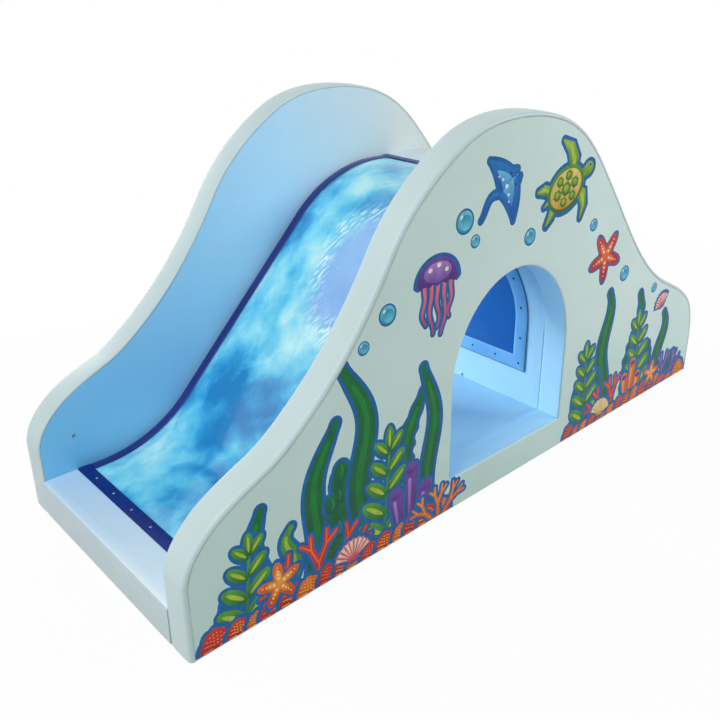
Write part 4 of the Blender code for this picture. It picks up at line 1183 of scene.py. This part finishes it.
def makeMattress():
    points, up, runs = bedPath(mattress["grid"])
    half, strip, last = bed["halfWidth"], bed["strip"], runs[-1]
    held = half - mattress["sideRim"]
    rim = (half + held) / 2
    inner = np.linspace(-held, held, int(2 * held / mattress["grid"]) + 1)
    across = np.concatenate([[-half, -rim], inner, [rim, half]])
    rows, lay, fixed = [], [], []
    for (x, z), (upX, upZ), run in zip(points, up, runs):
        heights = []
        for y in across:
            fromEnds, fromSides = min(run - strip, last - strip - run), held - abs(y)
            crown = 0.0
            if fromEnds > 0 and fromSides > 0:
                crown = 1 - math.exp(-fromEnds / mattress["endReach"])
                crown *= 1 - math.exp(-fromSides / mattress["sideReach"])
            wave = mattress["swell"] * flow(run * 3.1, y * 4.3, 7.0)
            heights.append((y, mattress["rimTop"] + crown * (mattress["crown"] + wave)))
            fixed.append(crown <= 0)
        heights += [(y, mattress["underside"]) for y in across[::-1]]
        fixed += [True] * len(across)
        rows.append([(x + upX * height, y, z + upZ * height) for y, height in heights])
        lay += [(run, y, 0.0) for y, _ in heights]
    mat = sweep("waterMattress", rows, ringClosed=False)
    lay = np.array(lay)
    holder = mat.data.attributes.new("lay", "FLOAT_VECTOR", "POINT")
    holder.data.foreach_set("vector", lay.astype(np.float32).reshape(-1))
    mat.vertex_groups.new(name="held").add([i for i, still in enumerate(fixed) if still], 1.0, "REPLACE")
    before = cornerArray(mat)
    moves = puffed(mat, *(mattress[key] for key in ("pressure", "frames", "cap")), "held", mattress["slack"])
    edgeGap = np.minimum(held - abs(lay[:, 1]), np.minimum(lay[:, 0] - strip, last - strip - lay[:, 0]))
    ease = np.clip(edgeGap / mattress["ease"], 0, 1)
    setCorners(mat, before + moves * (ease * ease * (3 - 2 * ease))[:, None])
    applied(mat, "SUBSURF", levels=1, render_levels=1)
    crinkled(mat, held)
    return finished(mat, waterFinish(), "water_mattress", fill=0.8, slot="water_print_vinyl", angle=60)


def crinkled(mat, held):
    # the clear film bunches in fine creases up the slope on the near half of the hump
    corners, normals = cornerArray(mat), cornerArray(mat, "normal")
    holder = mat.data.attributes["lay"].data
    lay = np.empty(len(corners) * 3, np.float32)
    holder.foreach_get("vector", lay)
    lay = lay.reshape(-1, 3)
    centreRun, centreY, reachRun, reachY = mattress["calmReflection"]
    for i, (run, y, _) in enumerate(lay):
        if normals[i][2] < 0.2 or abs(y) > held:
            continue
        away = math.hypot((run - centreRun) / reachRun, (y - centreY) / reachY) + 0.22 * flow(run * 6, y * 6, 2.0)
        patch = math.exp(-(((away - 1.05) / 0.2) ** 2)) * min(max(0.75 + 1.4 * flow(run * 5, y * 5, 9.0), 0.15), 1.0)
        lay[i][2] = patch * min(1.0, (held - abs(y)) / 0.03)
        corners[i] += normals[i] * mattress["crinkle"] * lay[i][2] * flow(run * 22 - y * 10, y * 84 + run * 39, 5.0)
    setCorners(mat, corners)
    holder.foreach_set("vector", lay.reshape(-1))


makeMattress()
print("water mattress filled")


underlay = {"top": -0.0262, "underside": -0.0452, "dent": 0.0003, "grid": 0.03}


def makeUnderlay():
    # the thin foam between the mattress and the deck board
    half, top, low = bed["halfWidth"], underlay["top"], underlay["underside"]
    rows = []
    for (x, z), (upX, upZ), run in zip(*bedPath(underlay["grid"])):
        dent = top + underlay["dent"] * flow(run * 9, 0, 1)
        section = ((top, -half), (dent, 0.0), (top, half), (low, half), (low, -half))
        rows.append([(x + upX * height, y, z + upZ * height) for height, y in section])
    sheet = sweep("deckUnderlay", rows, ringClosed=False)
    return finished(sheet, foamFinish, "slide_deck_foam", fill=1.0, slot="foam", angle=40)


makeUnderlay()
print("foam underlay laid")

# stuffed pads: the CAD block is remeshed, filled with air for a moment and held to the space it has
pads = {
    "voxel": 0.0065,
    "coarseVoxel": 0.0076,
    "inset": 0.0028,
    "pressure": 4.0,
    "frames": 16,
    "cap": 0.0055,
    "seamDepth": 0.0011,
    "ripple": 0.0008,
    "press": 0.006,
    "pressBand": 0.03,
}


def stuffedPad(name, node, look, slot, held, seam=None, voxel="voxel", fill=0.85, firm=0.35, panelFrom=None):
    # held: the sides that rest on a neighbour, such as "-x +z"; seam: the height that a seam runs at, and its reach
    pad = copyOf(cadNodes[node], name)
    reworked(pad, bmesh.ops.remove_doubles, "verts", dist=1e-5)
    pad.data.remesh_voxel_size = pads.get(voxel, voxel)
    selectOnly(pad)
    bpy.ops.object.voxel_remesh()
    square = cornerArray(pad, "normal") * pads["inset"]
    before = cornerArray(pad) - square
    setCorners(pad, before)
    before = cornerArray(pad)
    moves = puffed(pad, pads["pressure"], pads["frames"], pads["cap"])
    sides = []
    for axis, (hand, low, high) in enumerate(zip("xyz", *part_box(node))):
        sides += [(axis, 1, low)] * ("-" + hand in held) + [(axis, -1, high)] * ("+" + hand in held)
    # next to a held side the pad keeps its cut shape; elsewhere firm says how much of it stays
    keep = np.full(len(before), firm)
    for axis, way, face in sides:
        keep = np.maximum(keep, np.clip(1.3 - way * (before[:, axis] - face) / pads["pressBand"], 0, 1))
    setCorners(pad, before + moves * (1 - keep)[:, None] + square * keep[:, None])
    applied(pad, "SUBSURF", levels=1, render_levels=1)
    corners, normals = cornerArray(pad), cornerArray(pad, "normal")
    nearSeam = np.exp(-(((corners[:, 2] - seam[0]) / seam[1]) ** 2)) if seam else np.zeros(len(corners))
    ripple = pads["ripple"] * (0.5 + np.array([flow(x * 5.5, y * 5.5, z * 5.5) for x, y, z in corners]))
    corners -= normals * (nearSeam * pads["seamDepth"] + ripple + 0.0002)[:, None]
    for axis, way, face in sides:
        # a held side is pressed flat against its neighbour, so its edge stays nearly square
        gap = way * (corners[:, axis] - face)
        gap = np.maximum(gap - np.clip(1 - gap / pads["pressBand"], 0, 1) * pads["press"], 0.0)
        corners[:, axis] = face + way * gap
    setCorners(pad, corners)
    addNumbers(pad, "seam", nearSeam)
    if panelFrom:
        addNumbers(pad, "panel", np.clip((corners[:, 2] - panelFrom) / 0.0025 + 0.5, 0.0, 1.0))
    return finished(pad, look, node, fill=fill, slot=slot, angle=50)


restHeld = "-x -y +y -z"
landingSeam = {"seam": (0.117, 0.003), "firm": 0.8, "panelFrom": 0.1175}
stuffedPad("landingCushion", "landing_pad", landingVinyl, "pale_blue_vinyl", "+x -y +y -z", **landingSeam)
stuffedPad("platformCushion", "platform_pad", paleVinyl, "pale_blue_vinyl", restHeld, (0.992, 0.0035))
stepSize = 0.2
stepSeam = {"seam": (0.192, 0.0035), "voxel": "coarseVoxel"}
stepPad = stuffedPad("stepCushion1", "step_1_pad", paleVinyl, "pale_blue_vinyl", restHeld, **stepSeam)
for number in (2, 3, 4):
    copied = copyOf(stepPad, f"stepCushion{number}")
    low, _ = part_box(f"step_{number}_pad")
    corners = cornerArray(copied) + ((1 - number) * stepSize, 0.0, (number - 1) * stepSize)
    corners[:, 0] = np.maximum(corners[:, 0], low[0])
    corners[:, 2] = np.maximum(corners[:, 2], low[2])
    setCorners(copied, corners)
    finished(copied, paleVinyl, f"step_{number}_pad", fill=0.85, slot="pale_blue_vinyl", angle=50)
print("landing, platform and step cushions stuffed")
for name, node, held, voxel in (
    ("FloorMat", "floor_pad", "-x +x -y +y -z", "coarseVoxel"),
    ("FrontCushion", "front_pad", "-x -y +y -z +z", "coarseVoxel"),
    ("RearCushion", "rear_pad", "+x -y +y -z +z", "coarseVoxel"),
    ("CeilingCushion", "ceiling_panel", "-x +x -y +y +z", 0.0095),
):
    stuffedPad(f"tunnel{name}", f"tunnel_{node}", tunnelVinyl, "light_blue_vinyl", held, voxel=voxel, fill=0.9)
print("tunnel cushions stuffed")


# pieces modelled one by one: a primitive, shaped in edit mode
def fixPlace(piece):
    # the place goes into the mesh, so the object sits at the origin
    selectOnly(piece)
    bpy.ops.object.transform_apply(location=True, rotation=True, scale=True)


def disc(name, corners, radius, place=(0, 0, 0), turn=(0, 0, 0), scale=(1, 1, 1)):
    # a flat round face, left in edit mode with all of it selected
    bpy.ops.mesh.primitive_circle_add(vertices=corners, radius=radius, fill_type="NGON", location=place, rotation=turn)
    made = bpy.context.object
    made.name, made.scale = name, scale
    fixPlace(made)
    bpy.ops.object.mode_set(mode="EDIT")
    bpy.ops.mesh.select_mode(type="FACE")
    bpy.ops.mesh.select_all(action="SELECT")
    return made


def pulled(x, y, z, times=1):
    for _ in range(times):
        bpy.ops.mesh.extrude_region_move(TRANSFORM_OT_translate={"value": (x / times, y / times, z / times)})


def closedUp(piece, width, segments=2, angle=40):
    # faces turned outwards, back to object mode, and soft edges by the bevel modifier
    bpy.ops.mesh.select_all(action="SELECT")
    bpy.ops.mesh.normals_make_consistent(inside=False)
    bpy.ops.object.mode_set(mode="OBJECT")
    applied(piece, "BEVEL", width=width, segments=segments, limit_method="ANGLE", angle_limit=math.radians(angle))


border = {
    "width": 0.0444,
    "sideWidth": 0.0368,
    "thickness": 0.0052,
    "sink": 0.0008,
    "sides": 28,
    "sideCentre": 0.3811,
    "sideEnd": 0.1973,
    "halfLength": 0.3993,
    "softEdge": 0.0006,
    "screws": 6,
    "screwPitch": 0.12,
}
stripTop = bed["lowZ"] - border["sink"]
frontX = bed["from"] + bed["strip"] / 2 - halfLength
crestX = bed["to"] - bed["strip"] / 2 - halfLength


def makeSideStrip(label, side):
    # a flat round section drawn along the bed: straight, up the low bend, straight, over the crest, straight
    startX = bed["from"] + bed["strip"] + 0.0004 - halfLength
    scale = (border["thickness"] / 2, border["sideWidth"] / 2, 1.0)
    place = (startX, side * border["sideCentre"], stripTop)
    strip = disc(f"{label}BorderStrip", border["sides"], 1.0, place, (0, quarter, 0), scale)
    lean = np.array([math.sin(bedTurn), -math.cos(bedTurn)])
    slope = highCentre - bed["highRadius"] * lean - lowCentre - bed["lowRadius"] * lean
    lowX, highX = lowCentre[0] - halfLength, highCentre[0] - halfLength
    pulled(lowX - startX, 0, 0, 2)
    bpy.ops.mesh.spin(steps=24, angle=bedTurn, center=(lowX, 0, lowCentre[1]), axis=(0, 1, 0))
    pulled(slope[0], 0, slope[1], 8)
    bpy.ops.mesh.spin(steps=28, angle=bedTurn, center=(highX, 0, highCentre[1]), axis=(0, -1, 0))
    pulled(border["sideEnd"] - highX, 0, 0, 3)
    closedUp(strip, border["softEdge"])
    return finished(strip, sideStripSheenFinish, f"{label}_border_strip", slot="navy_strip", angle=50)


def makeCrossStrip(label, x, z):
    scale = (border["width"] / 2, border["thickness"] / 2, 1.0)
    strip = disc(f"{label}BorderStrip", border["sides"], 1.0, (x, -border["halfLength"], z), (quarter, 0, 0), scale)
    pulled(0, 2 * border["halfLength"], 0, 24)
    closedUp(strip, border["softEdge"])
    return finished(strip, navyFinish, f"{label}_border_strip", slot="navy_strip", angle=50)


for label, side in walls:
    makeSideStrip(label, side)
makeCrossStrip("front", frontX, stripTop)
makeCrossStrip("crest", crestX, bed["highZ"] - border["sink"])
print("border strips laid over the mattress rim")

screw = {"radius": 0.0052, "dome": 0.0022, "slotLong": 0.0034, "slotWide": 0.0008, "slotDeep": 0.0012, "sunk": 0.0003}


def makeScrew():
    # a pan head facing up, with a cross recess cut into it
    bpy.ops.mesh.primitive_uv_sphere_add(segments=20, ring_count=12, radius=screw["radius"], location=(0, 0, 0))
    head = bpy.context.object
    head.scale = (1, 1, screw["dome"] / screw["radius"])
    fixPlace(head)
    bpy.ops.object.mode_set(mode="EDIT")
    bpy.ops.mesh.select_all(action="SELECT")
    bpy.ops.mesh.bisect(plane_co=(0, 0, 0), plane_no=(0, 0, 1), clear_inner=True, use_fill=True)
    bpy.ops.object.mode_set(mode="OBJECT")
    for turn in (0, quarter):
        bpy.ops.mesh.primitive_cube_add(size=1, location=(0, 0, screw["dome"]), rotation=(0, 0, turn))
        cutter = bpy.context.object
        cutter.scale = [screw[key] * 2 for key in ("slotLong", "slotWide", "slotDeep")]
        fixPlace(cutter)
        applied(head, "BOOLEAN", object=cutter, operation="DIFFERENCE", solver="EXACT")
        bpy.data.objects.remove(cutter)
    return head


def setScrews(name, places, facing, look):
    # copies of the one screw, each turned a little differently, joined to one piece
    copies = []
    for index, place in enumerate(places):
        made = copyOf(screwModel, f"{name}{index + 1}")
        made.rotation_euler = (0, 0, 0.7 * index + 0.35)
        fixPlace(made)
        made.rotation_euler, made.location = facing, place
        fixPlace(made)
        copies.append(made)
    selectOnly(copies[0])
    for made in copies:
        made.select_set(True)
    bpy.ops.object.join()
    joined = bpy.context.object
    joined.name = name
    return finished(joined, look, slot="zinc_steel", angle=35)


screwModel = makeScrew()
across = [(i - (border["screws"] - 1) / 2) * border["screwPitch"] for i in range(border["screws"])]
stripCrown = stripTop + border["thickness"] / 2 - screw["sunk"]
crestCrown = bed["highZ"] - bed["lowZ"] + stripCrown
setScrews("frontStripScrews", [(frontX, y, stripCrown) for y in across], (0, 0, 0), stripScrewGlintFinish)
setScrews("crestStripScrews", [(crestX, y, crestCrown) for y in across], (0, 0, 0), stripScrewGlintFinish)
print("strip screws set")

# the tunnel window's ring: an arched band over the edge of the blue pane, with a dark bead round it as painted shadow
window = {
    "half": 0.324, "sill": 0.255, "spring": 0.455, "band": 0.057,
    "back": 0.2894, "plate": 0.0014, "rise": 0.0016, "slope": 0.009,
    "screwInset": 0.0285, "screwPitch": 0.12, "sideScrew": 0.62,
    "softEdge": 0.0016, "shadowBead": 0.0022, "shadowBeadBack": 0.2896, "shadowBeadPlate": 0.00126, "shadowBeadEdge": 0.0005,
}


def archPlate(name, grow, x, band, thick):
    # a half disc with its flat side pulled down to the sill, opened to a band of some thickness
    half, sill, spring = window["half"] + grow, window["sill"] - grow, window["spring"]
    plate = disc(name, 96, half, (x, 0, spring), (0, -quarter, 0))
    bpy.ops.mesh.bisect(plane_co=(x, 0, spring), plane_no=(0, 0, 1), clear_inner=True)
    bpy.ops.mesh.select_mode(type="EDGE")
    bpy.ops.mesh.select_all(action="DESELECT")
    bpy.ops.object.mode_set(mode="OBJECT")
    for edge in plate.data.edges:
        edge.select = all(plate.data.vertices[v].co.z < spring + 1e-5 for v in edge.vertices)
    bpy.ops.object.mode_set(mode="EDIT")
    pulled(0, 0, sill - spring)
    bpy.ops.mesh.select_mode(type="FACE")
    bpy.ops.mesh.select_all(action="SELECT")
    bpy.ops.mesh.normals_make_consistent(inside=False)
    bpy.ops.mesh.inset(thickness=band, depth=0, use_boundary=True)
    bpy.ops.mesh.delete(type="FACE")
    bpy.ops.mesh.select_all(action="SELECT")
    pulled(-thick, 0, 0)
    return plate


def makeWindowRing():
    ring = archPlate("windowRing", 0.0, window["back"], window["band"], window["plate"])
    bpy.ops.mesh.inset(thickness=window["slope"], depth=0, use_boundary=True)
    bpy.ops.transform.translate(value=(-window["rise"], 0, 0))
    closedUp(ring, window["softEdge"], 3, 12)
    return finished(ring, ringFinish, "window_ring", slot="window_strip", angle=50)


def makeShadowBead():
    # a dark bead round the ring's outer edge: painted shadow for the gap there
    grow = window["shadowBead"]
    bead = archPlate("ringShadowBead", grow, window["shadowBeadBack"], grow * 4, window["shadowBeadPlate"])
    closedUp(bead, window["shadowBeadEdge"], 2, 30)
    return finished(bead, shadowBeadFinish, slot="navy_strip", angle=50)


def ringScrewPlaces():
    half, sill, spring = window["half"] - window["screwInset"], window["sill"] + window["screwInset"], window["spring"]
    count = round(2 * half / window["screwPitch"])
    bows = round(math.pi * half / window["screwPitch"])
    places = [(-half + 2 * half * i / count, sill) for i in range(count + 1)]
    places += [(side * half, sill + (spring - sill) * window["sideScrew"]) for side in (-1, 1)]
    places += arc((0, spring), (half, half), quarter / bows, math.pi - quarter / bows, bows)
    faceX = window["back"] - window["plate"] - window["rise"] + screw["sunk"]
    return [(faceX, y, z) for y, z in places]


makeWindowRing()
makeShadowBead()
setScrews("ringScrews", ringScrewPlaces(), (0, -quarter, 0), ringScrewFinish)
bpy.data.objects.remove(screwModel)
print("window ring, bead and screws fitted")

eyelet = {
    "outer": 0.007, "hole": 0.0036, "plate": 0.0011, "lip": 0.00024, "lipWidth": 0.0014,
    "bore": 0.0003, "boreDepth": 0.00099, "softEdge": 0.0003, "stand": 0.00074,
}


def makeEyelet(name, node, turn, outwards):
    # a breather eyelet: a washer with a rolled lip, its shallow bore painted dark as painted shade for the hole
    low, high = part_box(node)
    middle = (low + high) / 2
    ring = disc(name, 36, eyelet["outer"])
    pulled(0, 0, eyelet["plate"])
    bpy.ops.mesh.inset(thickness=eyelet["lipWidth"], depth=eyelet["lip"])
    bpy.ops.mesh.inset(thickness=eyelet["outer"] - eyelet["hole"] - eyelet["lipWidth"], depth=0)
    bpy.ops.mesh.inset(thickness=eyelet["bore"], depth=-eyelet["boreDepth"])
    closedUp(ring, eyelet["softEdge"], 2, 30)
    ring.rotation_euler = turn
    ring.location = middle + Vector(outwards) * eyelet["stand"]
    fixPlace(ring)
    finished(ring, zincFinish, node, slot="zinc_steel", angle=40)
    # the faces in the middle take the dark finish, painted shade for the hole
    ring.data.materials.append(holeShadeFinish)
    for face in ring.data.polygons:
        gap = face.center - middle
        gap -= Vector(outwards) * gap.dot(Vector(outwards))
        if gap.length < eyelet["hole"] * 0.75:
            face.material_index = 1


makeEyelet("farWallEyelet", "far_wall_eyelet", (quarter, 0, 0), (0, 1, 0))
makeEyelet("nearWallEyelet", "near_wall_eyelet", (-quarter, 0, 0), (0, -1, 0))
makeEyelet("tunnelRearEyelet", "tunnel_rear_eyelet", (0, -quarter, 0), (1, 0, 0))
makeEyelet("tunnelFrontEyelet", "tunnel_front_eyelet", (0, quarter, 0), (-1, 0, 0))
print("eyelets pressed in")

nodeLooks = (
    # the CAD nodes that stay as they are: the start or end of the name, and the finish
    ("window_pane", paneFinish), ("tie_rod", zincFinish), ("front_rail", timberFinish),
    ("_board", plyFinish), ("_rib", plyFinish), ("_core", plyFinish),
)
for name, piece in cadNodes.items():
    for part, look in nodeLooks:
        if name.startswith(part) or name.endswith(part):
            piece.data.materials.clear()
            piece.data.materials.append(look)
print("boards, ribs, rods and pane finished")

# stage: a plain pale floor that keeps a faint shadow, and soft lamps
studio = {
    "floorSize": 24.0,
    "floorLift": (1.3, 3.4, 0.96, 1.0),  # between these metres from the middle, the floor fades to the white background
    "sky": 0.3,
    "lamps": (
        # place, aim, size, power
        ((-2.6, -0.4, 3.4), (-0.2, 0.0, 0.5), 2.4, 70.0),
        ((-4.0, -0.8, 1.4), (-1.0, 0.0, 0.3), 1.8, 24.0),
        ((3.0, -2.8, 2.8), (0.6, 0.0, 0.6), 2.2, 85.0),
        ((-0.3, 3.4, 1.1), (0.0, 0.0, 0.3), 1.6, 64.0),
    ),
    # a narrow lamp on the far side that lights the tunnel through the far arch: place, aim, cone in degrees, power
    "tunnelLamp": ((-1.75, 3.1, 0.9), (0.28, 0.1, 0.27), 13.0, 620.0),
}


def seenRays(tree, rays):
    kinds = ("Camera", "Glossy", "Transmission")
    camera, glossy, through = (Wire(tree, rays.outputs[f"Is {kind} Ray"]) for kind in kinds)
    return camera.either(glossy).either(through)


def makeStage():
    bpy.ops.mesh.primitive_plane_add(size=studio["floorSize"], location=(0, 0, -0.001))
    floor = bpy.context.object
    floor.name = "studioFloor"
    look = Finish("paleFloor", Roughness=0.9)
    here = look.place()
    mottle = look.cloud(here, 1.5, 3.0, 0.5)
    look.set("Base Color", look.ramp(mottle, (0.3, paint(206, 208, 210)), (0.7, paint(211, 213, 215))))
    along, across, _ = look.axes(here)
    lift = look.span((along * along + across * across).power(0.5), *studio["floorLift"])
    rays = look.tree.nodes.new("ShaderNodeLightPath")
    glow = look.add("ShaderNodeEmission")
    base = Wire(look.tree, look.shader.outputs[0])
    blend = look.add("ShaderNodeMixShader", sockets={0: seenRays(look.tree, rays) * lift, 1: base, 2: glow})
    join(look.tree, look.tree.nodes["Material Output"].inputs[0], blend)
    floor.data.materials.append(look.material)
    floor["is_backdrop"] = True


def makeSky():
    world = bpy.data.worlds.new("studioSky")
    bpy.context.scene.world = world
    world.use_nodes = True
    tree = world.node_tree
    background = tree.nodes["Background"]
    background.inputs[0].default_value = (1, 1, 1, 1)
    rays = tree.nodes.new("ShaderNodeLightPath")
    join(tree, background.inputs[1], seenRays(tree, rays) * (1.0 - studio["sky"]) + studio["sky"])


def makeLamp(kind, place, aim, power, **settings):
    bpy.ops.object.light_add(type=kind, location=place)
    lamp = bpy.context.object
    lamp.data.energy = power
    for key, value in settings.items():
        setattr(lamp.data, key, value)
    lamp.rotation_euler = (Vector(aim) - Vector(place)).to_track_quat("-Z", "Y").to_euler()


makeStage()
makeSky()
for place, aim, size, power in studio["lamps"]:
    makeLamp("AREA", place, aim, power, shape="SQUARE", size=size)
place, aim, cone, power = studio["tunnelLamp"]
makeLamp("SPOT", place, aim, power, spot_size=math.radians(cone), spot_blend=0.6, shadow_soft_size=0.16)
bpy.context.scene.view_settings.view_transform = "Standard"
print("floor, sky and lamps set")

low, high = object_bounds()
